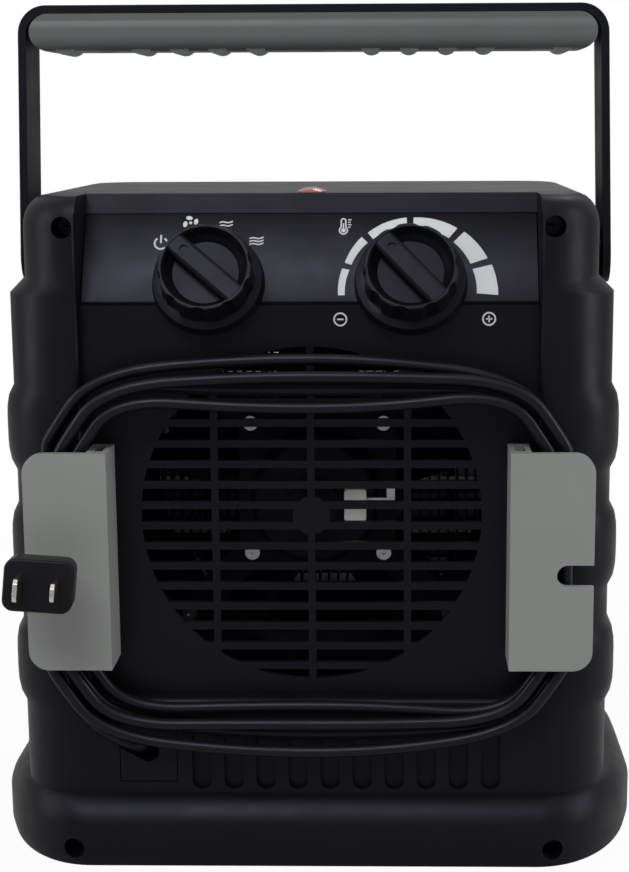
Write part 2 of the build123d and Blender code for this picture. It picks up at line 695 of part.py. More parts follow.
def handle_grip():
    """Moulded grip under the strap, with finger bumps below."""
    middle = (GRIP_TOP + GRIP_LOW) / 2
    length = Pos(0, middle) * RectangleRounded(2 * GRIP_HALF, GRIP_HEIGHT, GRIP_HEIGHT / 2 - 0.1)
    grip = extrude(upright(PIVOT_Y, length), amount=GRIP_WIDTH / 2, both=True)
    section = Pos(PIVOT_Y, middle) * RectangleRounded(GRIP_WIDTH, GRIP_HEIGHT, GRIP_ROUND)
    section += Pos(PIVOT_Y, GRIP_TOP - GRIP_HEIGHT / 4) * Rectangle(STRAP_WIDTH, GRIP_HEIGHT / 2)
    grip &= extrude(Plane.YZ * section, amount=GRIP_HALF, both=True)
    for index in range(BUMP_COUNT):
        x = BUMP_FIRST_X + index * BUMP_PITCH
        if abs(x - GRIP_SCREW_X) > BUMP_R:
            for side in (-1, 1):
                grip += rod_y(side * x, GRIP_LOW + BUMP_R - BUMP_DROP, BUMP_R,
                              PIVOT_Y - GRIP_WIDTH / 2 + GRIP_ROUND / 2,
                              PIVOT_Y + GRIP_WIDTH / 2 - GRIP_ROUND / 2)
    for x in GRIP_SCREW_PLACES:
        grip -= rod_z(x, PIVOT_Y, GRIP_SCREW_R, GRIP_LOW - 2 * BUMP_DROP, GRIP_SCREW_SEAT)
        grip -= rod_z(x, PIVOT_Y, RIB_SCREW_R + SHAFT_FIT, GRIP_LOW, GRIP_TOP + 1)
    return grip


def grip_screws():
    """Three screws from below through the grip into the strap."""
    screws = []
    for x in GRIP_SCREW_PLACES:
        body = rod_z(x, PIVOT_Y, RIB_SCREW_HEAD_R, GRIP_SCREW_SEAT - SCREW_HEAD, GRIP_SCREW_SEAT)
        body += rod_z(x, PIVOT_Y, RIB_SCREW_R, GRIP_SCREW_SEAT - JOIN, STRAP_TOP - STRAP_THICK / 2)
        screws.append(body)
    return screws


PIN_INNER = UPPER_HALF - WALL - PIN_TAIL


def pivot_pins():
    """Headed pins that the handle turns on."""
    pins = []
    for side in (-1, 1):
        head = ARM_HALF - SIDE_CLEARANCE / 2
        pin = rod_x(PIVOT_Y, PIVOT_Z, PIN_R, side * PIN_INNER, side * (head - JOIN))
        pin += rod_x(PIVOT_Y, PIVOT_Z, PIN_HEAD_R, side * (head - PIN_HEAD), side * head)
        pins.append(pin)
    return pins


def pivot_nuts():
    """Hexagon nuts on the pins, against the inside of the case."""
    nuts = []
    for side in (-1, 1):
        nut = extrude(RegularPolygon(PIVOT_NUT_FLATS / 2, 6, major_radius=False), amount=PIN_TAIL - 1)
        nut -= Cylinder(PIN_R + SHAFT_FIT, 4 * PIN_TAIL)
        wall = side * (UPPER_HALF - WALL)
        nuts.append(Pos(wall, PIVOT_Y, PIVOT_Z) * Rot(0, -90 * side, 0) * nut)
    return nuts


def knob(x, rest):
    """Skirted knob with a scalloped rim and a pointer bar in its hollow face, turned to its rest."""
    outline = Polyline((0, KNOB_LIFT), (SKIRT_R, KNOB_LIFT), (SKIRT_TOP_R, SKIRT_HEIGHT),
                       (COLLAR_R, SKIRT_HEIGHT + KNOB_LIFT), (RIM_R, RIM_HEIGHT - KNOB_LIFT / 2),
                       (RIM_R - KNOB_LIFT / 2, RIM_HEIGHT), (DISH_R + KNOB_LIFT / 2, RIM_HEIGHT),
                       (DISH_R, RIM_HEIGHT - KNOB_LIFT), (DISH_R - KNOB_LIFT, DISH_FLOOR + 3 * KNOB_LIFT),
                       (DISH_R - 4 * KNOB_LIFT, DISH_FLOOR), (0, DISH_FLOOR), close=True)
    body = revolve(Plane.XZ * make_face(outline), Axis.Z)
    for index in range(FLUTE_COUNT):
        turn = Rot(0, 0, (index + 0.5) * 360 / FLUTE_COUNT)
        flute = Pos(0, RIM_R + FLUTE_R - FLUTE_DEPTH, SKIRT_HEIGHT + KNOB_LIFT + RIM_HEIGHT / 2)
        body -= turn * flute * Cylinder(FLUTE_R, RIM_HEIGHT)
    bar = Pos(0, 0, POINTER_HEIGHT / 2 + SHAFT_OUT / 2) * Box(
        POINTER_WIDTH, 2 * RIM_R, POINTER_HEIGHT - SHAFT_OUT)
    bar = fillet(bar.edges().filter_by(Axis.Y).group_by(Axis.Z)[-1], POINTER_WIDTH / 5)
    body += bar & Cylinder(DISH_R + KNOB_LIFT / 4, 4 * POINTER_HEIGHT)
    body -= Pos(0, DISH_R - 3 * DIMPLE_R, POINTER_HEIGHT) * Cylinder(DIMPLE_R, 2 * DIMPLE_DEPTH)
    body -= Pos(0, 0, KNOB_HOLLOW / 2) * Cylinder(KNOB_HOLLOW_R, KNOB_HOLLOW)
    body -= Pos(0, 0, SHAFT_OUT / 2) * Cylinder(SHAFT_R + SHAFT_FIT, SHAFT_OUT)
    return knob_plane(x) * Rot(0, 0, rest) * body


def control_shaft(x, rest):
    """Turning shaft between a switch and its knob, with a flat at its end."""
    length = SHAFT_IN + SHAFT_OUT
    shaft = Pos(0, 0, (SHAFT_OUT - SHAFT_IN) / 2) * Cylinder(SHAFT_R, length)
    flat = Pos(0, -2 * SHAFT_R, SHAFT_OUT) * Box(4 * SHAFT_R, 2.4 * SHAFT_R, SHAFT_R)
    return knob_plane(x) * Rot(0, 0, rest) * (shaft - flat)


def control_body(x, radius, length):
    """Switch or thermostat behind the panel, with its bushing through it."""
    bushing_length = BUSHING_OUT + NECK_DEPTH
    body = Pos(0, 0, (BUSHING_OUT - NECK_DEPTH) / 2) * Cylinder(BUSHING_R, bushing_length)
    neck = NECK_DEPTH - PANEL_THICK
    body += Pos(0, 0, -PANEL_THICK - neck / 2) * Cylinder(NECK_R, neck)
    body += Pos(0, 0, JOIN - NECK_DEPTH - length / 2) * Cylinder(radius, length)
    bore = BUSHING_OUT + SHAFT_IN + SIDE_CLEARANCE
    body -= Pos(0, 0, BUSHING_OUT - bore / 2) * Cylinder(SHAFT_R + RUN_CLEARANCE, bore)
    for turn in (30, 150, 270):
        tab = Box(TAB_WIDTH, TAB_THICK, TAB_LENGTH)
        body += Rot(0, 0, turn) * Pos(0, radius / 2, -NECK_DEPTH - length - TAB_LENGTH / 2 + 1) * tab
    return knob_plane(x) * body


def control_nuts():
    """Hexagon nuts that hold the two controls on the panel."""
    nut = extrude(RegularPolygon(NUT_FLATS / 2, 6, major_radius=False), amount=NUT_THICK)
    nut -= Cylinder(BUSHING_R + SHAFT_FIT, 4 * NUT_THICK)
    return [knob_plane(x) * nut for x in (-KNOB_X, KNOB_X)]


def cord_bracket():
    """Right-hand bracket: hollow post, flange and parking notch."""
    flange = block(POST_IN, FLANGE_OUT, FLANGE_Y, FLANGE_Y + FLANGE_THICK, BRACKET_LOW, BRACKET_HIGH)
    flange = fillet(flange.edges().filter_by(Axis.Y).group_by(Axis.X)[-1], FLANGE_ROUND)
    post = block(POST_IN, POST_OUT, FLANGE_Y + FLANGE_THICK - JOIN, RECESS_FLOOR_Y, BRACKET_LOW, BRACKET_HIGH)
    for end, way in ((BRACKET_LOW, 1), (BRACKET_HIGH, -1)):
        post -= block(POST_IN + POST_WALL, POST_OUT - POST_WALL, FLANGE_Y + FLANGE_THICK + POST_WALL,
                      RECESS_FLOOR_Y - POST_WALL, end - way, end + way * POST_POCKET)
    bracket = flange + post
    radius = NOTCH_WIDTH / 2
    bottom = FLANGE_OUT - NOTCH_DEPTH + radius
    bracket -= block(bottom, FLANGE_OUT + 1, FLANGE_Y - 1, FLANGE_Y + FLANGE_THICK + 1,
                     NOTCH_Z - radius, NOTCH_Z + radius)
    bracket -= rod_y(bottom, NOTCH_Z, radius, FLANGE_Y - 1, FLANGE_Y + FLANGE_THICK + 1)
    for x, y, z in bracket_screw_places():
        if x > 0:
            bracket -= rod_y(x, z, BRACKET_SCREW_R + SHAFT_FIT, RECESS_FLOOR_Y - BRACKET_SCREW_BITE,
                             RECESS_FLOOR_Y + 1)
    return bracket


def bracket_screws():
    """Screws from inside the cover into the bracket posts."""
    return [screw_y(x, y, z, BRACKET_SCREW_HEAD_R, SCREW_HEAD, BRACKET_SCREW_R,
                    RECESS_FLOOR_Y - BRACKET_SCREW_BITE + 1) for x, y, z in bracket_screw_places()]


LAYER_IN = REAR_Y - CORD_CLEARANCE - CORD_D / 2
LAYER_OUT = LAYER_IN - CORD_D - CORD_LAYER_GAP
CORNER_RISE = CORD_CORNER_R * sin(radians(CORD_CORNER_TURN))
CORNER_INSET = CORD_CORNER_R * (1 - cos(radians(CORD_CORNER_TURN)))
LEAN = Vector(sin(radians(CORD_CORNER_TURN)), 0, cos(radians(CORD_CORNER_TURN)))
UP = Vector(0, 0, 1)
RIGHT = Vector(1, 0, 0)
OUT = Vector(0, -1, 0)
PLUG_WAY = Vector(sin(radians(PLUG_TURN)) * cos(radians(PLUG_RISE)),
                  -cos(radians(PLUG_TURN)) * cos(radians(PLUG_RISE)), sin(radians(PLUG_RISE)))


def inward(turn):
    """How many steps further in the winding lies after so many turns: in, then out again."""
    return min(turn, CORD_TURNS - turn)


def layer(turn):
    """Depth of the winding after so many turns."""
    return LAYER_IN if turn <= CORD_TURNS / 2 else LAYER_OUT


def side_x(turn):
    """Distance of the winding from the middle, beside a post."""
    return CORD_SIDE_X - CORD_SIDE_STEP * inward(turn)


def side_stations(turn, side):
    """Corner, run and corner beside one post, as points with their directions."""
    x = side_x(turn)
    first = LAYER_IN if turn <= CORD_TURNS / 2 else LAYER_OUT
    last = LAYER_OUT if turn >= CORD_TURNS / 2 else LAYER_IN
    beyond = CORD_CORNER_STEP * (CORD_TURNS / 2 - inward(turn))
    low = Vector(side * x, first if side < 0 else last, BRACKET_LOW - beyond + CORNER_RISE)
    high = Vector(side * x, last, BRACKET_HIGH + beyond - CORNER_RISE)
    run = (high - low).normalized()
    lean_in = Vector(-side * LEAN.X, 0, LEAN.Z)
    lean_out = Vector(side * LEAN.X, 0, LEAN.Z)
    corner_low = Vector(side * (x - CORNER_INSET), low.Y, BRACKET_LOW - beyond)
    corner_high = Vector(side * (x - CORNER_INSET), high.Y, BRACKET_HIGH + beyond)
    return [(corner_low, lean_out), (low, run), (high, run), (corner_high, lean_in)]


def winding_stations():
    """The cord's turns round the two posts, from the left post's run to the last one."""
    stations = []
    for index in range(CORD_TURNS):
        left = side_stations(index, -1)
        stations += left[2:] if index == 0 else left
        turn = index + 0.25
        top = CORD_TOP_Z - CORD_TOP_STEP * inward(turn)
        stations.append((Vector(0, layer(turn), top), RIGHT))
        for point, way in reversed(side_stations(index + 0.5, 1)):
            stations.append((point, -way))
        turn = index + 0.75
        bottom = CORD_BOTTOM_Z + CORD_BOTTOM_STEP * inward(turn)
        stations.append((Vector(0, layer(turn), bottom), -RIGHT))
    return stations


def parking():
    """Start and end of the cord's last bend, through the notch, and the back of the plug."""
    reach = TAIL_BEND_R * tan(acos(PLUG_WAY.Z) / 2)
    before = Vector(-side_x(CORD_TURNS), LAYER_OUT, NOTCH_Z - reach * (1 + PLUG_WAY.Z))
    parked = before + (UP + PLUG_WAY) * reach
    return before, parked, parked + PLUG_WAY * PLUG_STANDOFF


def cord_stations():
    """The whole cord from the gland to the plug."""
    start = Vector(GLAND_X, GLAND_SEAT_Y, GLAND_Z)
    straight = start + OUT * CORD_D
    bend = straight.Y - LAYER_IN
    lead = Vector(-cos(radians(LEAD_RISE)), 0, sin(radians(LEAD_RISE)))
    turned = Vector(straight.X, LAYER_IN, straight.Z) + lead * bend
    joined = Vector(-side_x(0), LAYER_IN, BRACKET_LOW + CORNER_RISE)
    tail = side_stations(CORD_TURNS, -1)[:2]
    before, parked, end = parking()
    return ([(start, OUT), (straight, OUT), (turned, lead), (joined, UP)] + winding_stations()
            + tail + [(before, UP), (parked, PLUG_WAY), (end, PLUG_WAY)])


def biarc(start, way, end, end_way):
    """A straight line, or two tangent arcs, from one station to the next."""
    chord = end - start
    spread = 2 * (1 - way.dot(end_way))
    if spread < 1e-9:
        return [Line(start, end)]
    reach = (sqrt(chord.dot(way + end_way) ** 2 + spread * chord.dot(chord))
             - chord.dot(way + end_way)) / spread
    middle = (start + end + (way - end_way) * reach) * 0.5
    middle_way = (end - end_way * reach - start - way * reach).normalized()
    return [TangentArc(start, middle, tangent=way), TangentArc(middle, end, tangent=middle_way)]


def least_gap(edges):
    """Smallest space between two stretches of the cord, measured on points."""
    points = []
    travelled = 0.0
    for edge in edges:
        count = max(2, round(edge.length / (CORD_D / 2)))
        for step in range(count):
            place = edge.position_at(step / count)
            points.append((travelled + edge.length * step / count, place.X, place.Y, place.Z))
        travelled += edge.length
    least = FAR
    for index, (along, x, y, z) in enumerate(points):
        for other, x2, y2, z2 in points[index + 1:]:
            if other - along > 4 * CORD_D:
                least = min(least, (x - x2) ** 2 + (y - y2) ** 2 + (z - z2) ** 2)
    return sqrt(least) - CORD_D


def power_cord():
    """The cord as one tube, wound round the posts."""
    stations = cord_stations()
    edges = []
    for (start, way), (end, end_way) in zip(stations, stations[1:]):
        edges += biarc(start, way, end, end_way)
    path = Wire(edges)
    section = Plane(origin=stations[0][0], z_dir=OUT) * Circle(CORD_D / 2)
    tube = sweep(section, path=path)
    radii = [edge.radius for edge in edges if edge.geom_type == GeomType.CIRCLE]
    print("cord length", round(path.length, 1), "least gap", round(least_gap(edges), 2),
          "tightest bend", round(min(radii), 1),
          "volume share", round(tube.volume / (pi * CORD_D ** 2 / 4 * path.length), 4))
    return tube


def cord_gland():
    """Rectangular insert in the skirt, with the slanting mouth of the cord."""
    face = REAR_Y + GLAND_GAP
    body = block(GLAND_X - GLAND_HALF + GLAND_GAP, GLAND_X + GLAND_HALF - GLAND_GAP, face,
                 GLAND_SEAT_Y + GLAND_THICK, GLAND_LOW + GLAND_GAP, GLAND_HIGH - GLAND_GAP)
    body += block(GLAND_X - GLAND_HALF - GLAND_THICK / 2, GLAND_X + GLAND_HALF + GLAND_THICK / 2,
                  FLOOR_INNER_Y, FLOOR_INNER_Y + GLAND_THICK / 2, GLAND_LOW, GLAND_HIGH)
    mouth = Pos(GLAND_X, GLAND_Z) * Rot(0, 0, 180 - LEAD_RISE) * SlotCenterPoint(
        (MOUTH_REACH / 2, 0), (MOUTH_REACH, 0), MOUTH_WIDTH)
    body -= extrude(upright(GLAND_SEAT_Y, mouth), amount=FAR)
    return body


PLUG_PLACE = Pos(*parking()[2]) * Rot(0, 0, PLUG_TURN) * Rot(-PLUG_RISE, 0, 0) * Rot(0, PLUG_ROLL, 0)
PLUG_FACE_Y = -PLUG_NECK - PLUG_LENGTH


def plug_body():
    """Moulded plug with a tapered neck."""
    shell = RectangleRounded(PLUG_WIDTH, PLUG_HEIGHT, PLUG_ROUND)
    body = extrude(upright(-PLUG_NECK, shell), amount=PLUG_LENGTH)
    body = fillet(body.edges().group_by(Axis.Y)[0], PLUG_ROUND / 4)
    body = fillet(body.edges().group_by(Axis.Y)[-1], PLUG_ROUND / 2)
    neck = Pos(0, -(PLUG_NECK + JOIN) / 2, 0) * Rot(90, 0, 0) * Cone(
        PLUG_NECK_R, PLUG_NECK_TOP_R, PLUG_NECK + JOIN)
    return PLUG_PLACE * (body + neck)


def plug_blades():
    """Two flat blades, one wider than the other."""
    blades = []
    for side, height in zip((-1, 1), BLADE_HEIGHTS):
        x = side * BLADE_SPACING / 2
        blade = block(x - BLADE_THICK / 2, x + BLADE_THICK / 2, PLUG_FACE_Y - BLADE_LENGTH, PLUG_FACE_Y,
                      -height / 2, height / 2)
        tip = blade.edges().filter_by(Axis.X).group_by(Axis.Y)[0]
        blades.append(PLUG_PLACE * chamfer(tip, BLADE_THICK))
    return blades


def indicator_lens():
    """Domed lens in the top of the case."""
    cap = LENS_RISE - LENS_EDGE
    ball_r = (LENS_R ** 2 + cap ** 2) / (2 * cap)
    ball = Pos(0, LENS_Y, BODY_TOP + LENS_RISE - ball_r) * Sphere(ball_r)
    lens = ball & rod_z(0, LENS_Y, LENS_R, BODY_TOP, BODY_TOP + 2 * LENS_RISE)
    return lens + rod_z(0, LENS_Y, LENS_STEM_R, BODY_TOP - LENS_STEM, BODY_TOP + LENS_EDGE / 2)


def indicator_lamp():
    """Small lamp under the lens."""
    top = BODY_TOP - LENS_STEM
    lamp = rod_z(0, LENS_Y, LAMP_R, top - LAMP_LENGTH, top)
    for side in (-1, 1):
        lamp += rod_z(side * LAMP_R / 2, LENS_Y, LAMP_R / 6, top - 2 * LAMP_LENGTH, top - LAMP_LENGTH + JOIN)
    return lamp


def fan_shroud():
    """Plate with a round duct that the fan turns in."""
    plate = block(-SHROUD_HALF, SHROUD_HALF, SHROUD_Y - SHROUD_THICK, SHROUD_Y, SHROUD_LOW, SHROUD_HIGH)
    plate += rod_y(0, GRILLE_Z, DUCT_R + DUCT_WALL, SHROUD_Y - JOIN, SHROUD_Y + DUCT_LENGTH)
    plate -= rod_y(0, GRILLE_Z, DUCT_R, SHROUD_Y - 2 * SHROUD_THICK, SHROUD_Y + DUCT_LENGTH + 1)
    for x, y, z in rib_screw_places():
        if y == SHROUD_Y:
            plate -= rod_y(x, z, RIB_SCREW_R + SHAFT_FIT, y - 2 * SHROUD_THICK, y + 1)
    for x, z in mount_screw_places():
        plate -= rod_y(x, z, RIB_SCREW_R + SHAFT_FIT, SHROUD_Y - 2 * SHROUD_THICK, SHROUD_Y + 1)
    return plate


def mount_screw_places():
    """(x, z) of the screws at the ends of the motor mount's arms."""
    reach = MOUNT_REACH - MOUNT_ARM / 2
    places = []
    for index in range(MOUNT_ARMS):
        turn = radians(45 + 360 * index / MOUNT_ARMS)
        places.append((reach * cos(turn), GRILLE_Z + reach * sin(turn)))
    return places


MOUNT_FRONT_Y = SHROUD_Y - SHROUD_THICK
MOTOR_FRONT_Y = MOUNT_FRONT_Y - MOUNT_THICK


def motor_mount():
    """Spider with four arms, across the duct."""
    spider = rod_y(0, GRILLE_Z, MOTOR_R, MOTOR_FRONT_Y, MOUNT_FRONT_Y)
    for index in range(MOUNT_ARMS):
        arm = block(0, MOUNT_REACH, MOTOR_FRONT_Y, MOUNT_FRONT_Y, -MOUNT_ARM / 2, MOUNT_ARM / 2)
        spider += Pos(0, 0, GRILLE_Z) * Rot(0, -45 - 360 * index / MOUNT_ARMS, 0) * arm
    spider -= rod_y(0, GRILLE_Z, MOTOR_SHAFT_R + 1, MOTOR_FRONT_Y - 1, MOUNT_FRONT_Y + 1)
    for x, z in mount_screw_places() + motor_screw_places():
        spider -= rod_y(x, z, RIB_SCREW_R + SHAFT_FIT, MOTOR_FRONT_Y - 1, MOUNT_FRONT_Y + 1)
    return spider


def motor_screw_places():
    """(x, z) of the screws at the corners of the motor's flange, on the mount's arms."""
    return [(side * MOTOR_SCREW_X, GRILLE_Z + lift * MOTOR_SCREW_X) for side in (-1, 1) for lift in (-1, 1)]


def motor_screws():
    """Screws through the motor's flange into the mount's arms."""
    return [screw_y(x, MOTOR_FRONT_Y - MOTOR_FLANGE, z, RIB_SCREW_HEAD_R, SCREW_HEAD, RIB_SCREW_R,
                    MOUNT_FRONT_Y - JOIN) for x, z in motor_screw_places()]


def mount_screws():
    """Screws through the mount's arms into the shroud."""
    return [screw_y(x, MOTOR_FRONT_Y, z, RIB_SCREW_HEAD_R, SCREW_HEAD, RIB_SCREW_R, SHROUD_Y - JOIN)
            for x, z in mount_screw_places()]


def motor_body():
    """Motor with its rear bearing cap and its square flange."""
    rear = MOTOR_FRONT_Y - MOTOR_LENGTH
    body = rod_y(0, GRILLE_Z, MOTOR_R, rear, MOTOR_FRONT_Y)
    body = fillet(body.edges().group_by(Axis.Y)[0], MOTOR_R / 8)
    body += rod_y(0, GRILLE_Z, MOTOR_R / 2.5, rear - MOTOR_CAP, rear + JOIN)
    body += block(-MOTOR_FLANGE_HALF, MOTOR_FLANGE_HALF, MOTOR_FRONT_Y - MOTOR_FLANGE, MOTOR_FRONT_Y,
                  GRILLE_Z - MOTOR_FLANGE_HALF, GRILLE_Z + MOTOR_FLANGE_HALF)
    for x, z in motor_screw_places():
        body -= rod_y(x, z, RIB_SCREW_R + SHAFT_FIT, MOTOR_FRONT_Y - 2 * MOTOR_FLANGE, MOTOR_FRONT_Y + 1)
    return body - rod_y(0, GRILLE_Z, MOTOR_SHAFT_R + RUN_CLEARANCE, rear, MOTOR_FRONT_Y + 1)


def coil_bobbin():
    """Bobbin of the field coil, on the rear of the motor."""
    seat = MOTOR_FRONT_Y - MOTOR_LENGTH
    body = block(COIL_X - COIL_WIDTH / 2, COIL_X + COIL_WIDTH / 2, seat - COIL_DEPTH, seat,
                 GRILLE_Z - COIL_HEIGHT / 2, GRILLE_Z + COIL_HEIGHT / 2)
    return fillet(body.edges().filter_by(Axis.Y), COIL_STRIP)


def coil_terminal():
    """Strip from the motor's rear face, with a tab at its end."""
    seat = MOTOR_FRONT_Y - MOTOR_LENGTH
    low = COIL_TAB_Z - COIL_TAB_HEIGHT / 2
    strip = block(COIL_X + COIL_WIDTH / 2, COIL_TAB_REACH, seat - COIL_STRIP, seat, low, low + COIL_STRIP)
    return strip + block(COIL_TAB_REACH - COIL_TAB_LENGTH, COIL_TAB_REACH, seat - COIL_STRIP, seat,
                         low, low + COIL_TAB_HEIGHT)


def motor_shaft():
    """Shaft from the rear bearing to the fan's hub."""
    return rod_y(0, GRILLE_Z, MOTOR_SHAFT_R, MOTOR_FRONT_Y - MOTOR_LENGTH + 1, FAN_Y + FAN_DEPTH - 2)


def fan_impeller():
    """Hub with pitched blades."""
    fan = rod_y(0, GRILLE_Z, FAN_HUB_R, FAN_Y, FAN_Y + FAN_DEPTH)
    fan = fillet(fan.edges().group_by(Axis.Y)[-1], FAN_HUB_R / 6)
    ring = rod_y(0, 0, FAN_R, -FAN_DEPTH / 2, FAN_DEPTH / 2)
    for index in range(FAN_BLADES):
        blade = Rot(0, 0, BLADE_PITCH_ANGLE) * block(-BLADE_CHORD / 2, BLADE_CHORD / 2, -FAN_BLADE_THICK / 2,
                                                     FAN_BLADE_THICK / 2, FAN_HUB_R / 2, FAN_R)
        turned = Rot(0, 360 * index / FAN_BLADES, 0) * (blade & ring)
        fan += Pos(0, FAN_Y + FAN_DEPTH / 2, GRILLE_Z) * turned
    return fan - rod_y(0, GRILLE_Z, MOTOR_SHAFT_R + SHAFT_FIT, FAN_Y - 1, FAN_Y + FAN_DEPTH - 2)


HEATER_FRONT_Y = HEATER_Y + HEATER_DEPTH
WINDOW_HALF = HEATER_HALF - HEATER_BORDER
WINDOW_HALF_HEIGHT = HEATER_HALF_HEIGHT - HEATER_BORDER
FIN_HEIGHT = (2 * WINDOW_HALF_HEIGHT - (PTC_ROWS + 1) * PTC_THICK) / PTC_ROWS
ROW_PITCH = FIN_HEIGHT + PTC_THICK


def heater_frame():
    """Frame that holds the heating rows, with lugs on the side ribs."""
    frame = block(-HEATER_HALF, HEATER_HALF, HEATER_Y, HEATER_FRONT_Y,
                  GRILLE_Z - HEATER_HALF_HEIGHT, GRILLE_Z + HEATER_HALF_HEIGHT)
    frame -= block(-WINDOW_HALF, WINDOW_HALF, HEATER_Y - 1, HEATER_FRONT_Y + 1,
                   GRILLE_Z - WINDOW_HALF_HEIGHT, GRILLE_Z + WINDOW_HALF_HEIGHT)
    for x, y, z in rib_screw_places():
        if y == HEATER_FRONT_Y:
            side = 1 if x > 0 else -1
            frame += block(side * (HEATER_HALF - JOIN), side * HEATER_LUG_HALF, y - RIB_DEPTH, y,
                           z - HEATER_LUG / 2, z + HEATER_LUG / 2)
            frame -= rod_y(x, z, RIB_SCREW_R + SHAFT_FIT, y - 2 * RIB_DEPTH, y + 1)
    return frame


def rib_screws(y_seat, thick):
    """Screws through a plate of that thickness into the side ribs at y_seat."""
    return [screw_y(x, y - thick, z, RIB_SCREW_HEAD_R, SCREW_HEAD, RIB_SCREW_R, y + RIB_DEPTH - 1)
            for x, y, z in rib_screw_places() if y == y_seat]


def row_low(index):
    """Underside of a ceramic bar."""
    return GRILLE_Z - WINDOW_HALF_HEIGHT + index * ROW_PITCH


def ptc_bars():
    """Ceramic heating bars across the window."""
    return [block(-WINDOW_HALF, WINDOW_HALF, HEATER_Y + PTC_INSET, HEATER_FRONT_Y - PTC_INSET,
                  row_low(index), row_low(index) + PTC_THICK) for index in range(PTC_ROWS + 1)]


def heater_fins():
    """Rows of thin fins between the bars."""
    low = row_low(0) + PTC_THICK
    row = block(-WINDOW_HALF, WINDOW_HALF, HEATER_Y + 2 * PTC_INSET, HEATER_FRONT_Y - 2 * PTC_INSET,
                low, low + FIN_HEIGHT)
    count = int(2 * WINDOW_HALF / FIN_PITCH)
    pitch = 2 * WINDOW_HALF / count
    first = block(-WINDOW_HALF + FIN_THICK / 2, -WINDOW_HALF + pitch - FIN_THICK / 2,
                  HEATER_Y, HEATER_FRONT_Y, low + FIN_THICK, low + FIN_HEIGHT - FIN_THICK)
    gaps = [Pos(index * pitch, 0, 0) * first for index in range(count)]
    row -= gaps
    return [Pos(0, 0, index * ROW_PITCH) * row for index in range(PTC_ROWS)]


def front_grille():
    """Outlet grille: a rim on the front of the case, slats and stiles."""
    middle = (OUTLET_LOW + OUTLET_HIGH) / 2
    height = OUTLET_HIGH - OUTLET_LOW
    front = FRONT_Y + OUTLET_PROUD
    centre = Pos(0, middle)
    outline = RectangleRounded(2 * (OUTLET_HALF + OUTLET_FLANGE), height + 2 * OUTLET_FLANGE,
                               OUTLET_ROUND + OUTLET_FLANGE)
    rim = extrude(upright(front, centre * outline), amount=OUTLET_PROUD)
    rim = fillet(rim.edges().group_by(Axis.Y)[-1], OUTLET_PROUD / 2)
    sleeve = RectangleRounded(2 * (OUTLET_HALF - OUTLET_GAP), height - 2 * OUTLET_GAP,
                              OUTLET_ROUND - OUTLET_GAP)
    rim += extrude(upright(front, centre * sleeve), amount=SLAT_DEPTH + OUTLET_PROUD)
    inner_half = OUTLET_HALF - OUTLET_BORDER
    inner_height = height - 2 * OUTLET_BORDER
    hole = RectangleRounded(2 * inner_half, inner_height, OUTLET_ROUND - OUTLET_BORDER)
    rim -= extrude(upright(front + 1, centre * hole), amount=2 * SLAT_DEPTH)
    low = OUTLET_LOW + OUTLET_BORDER
    for index in range(SLAT_COUNT):
        z = low + (index + 1) * inner_height / (SLAT_COUNT + 1)
        slat = block(-inner_half - JOIN, inner_half + JOIN, -SLAT_WIDTH / 2, SLAT_WIDTH / 2,
                     -SLAT_THICK / 2, SLAT_THICK / 2)
        rim += Pos(0, front - (SLAT_DEPTH + OUTLET_PROUD) / 2, z) * Rot(SLAT_TILT, 0, 0) * slat
    for index in range(STILE_COUNT):
        x = -inner_half + (index + 1) * 2 * inner_half / (STILE_COUNT + 1)
        rim += block(x - STILE_WIDTH / 2, x + STILE_WIDTH / 2, front - SLAT_DEPTH, front - OUTLET_PROUD,
                     low - JOIN, low + inner_height + JOIN)
    return rim


def rubber_feet():
    """Four feet with stems in the base."""
    feet = []
    for x, y in FOOT_PLACES:
        foot = rod_z(x, y, FOOT_R, 0, BASE_BOTTOM + FOOT_SINK)
        feet.append(foot + rod_z(x, y, FOOT_STEM_R, BASE_BOTTOM, BASE_BOTTOM + FOOT_STEM - 1))
    return feet


def tip_over_switch():
    """Safety switch on the floor of the base, open below for its plunger."""
    switch = block(PLUNGER_X - TIP_HALF, PLUNGER_X + TIP_HALF, PLUNGER_Y - TIP_HALF, PLUNGER_Y + TIP_HALF,
                   FLOOR_TOP, FLOOR_TOP + TIP_HEIGHT)
    top = PLUNGER_GROUND + PLUNGER_LENGTH + PLUNGER_TRAVEL + SIDE_CLEARANCE
    return switch - rod_z(PLUNGER_X, PLUNGER_Y, PLUNGER_R + RUN_CLEARANCE, 0, top)


def tip_over_plunger():
    """Plunger that the ground holds up."""
    pin = rod_z(PLUNGER_X, PLUNGER_Y, PLUNGER_R, PLUNGER_GROUND, PLUNGER_GROUND + PLUNGER_LENGTH)
    return fillet(pin.edges().group_by(Axis.Z)[0], PLUNGER_R / 3)


def terminal_block():
    """Wire terminals on the floor of the base."""
    body = block(TERMINAL_X, TERMINAL_X + TERMINAL_LENGTH, TERMINAL_Y, TERMINAL_Y + TERMINAL_WIDTH,
                 FLOOR_TOP, FLOOR_TOP + TERMINAL_HEIGHT)
    pitch = TERMINAL_LENGTH / TERMINAL_WAYS
    for index in range(TERMINAL_WAYS):
        x = TERMINAL_X + (index + 0.5) * pitch
        body -= rod_z(x, TERMINAL_Y + TERMINAL_WIDTH / 2, pitch / 3, FLOOR_TOP + TERMINAL_HEIGHT / 2, FAR)
        body -= rod_y(x, FLOOR_TOP + TERMINAL_HEIGHT / 3, pitch / 5, TERMINAL_Y - 1,
                      TERMINAL_Y + TERMINAL_WIDTH + 1)
    return body


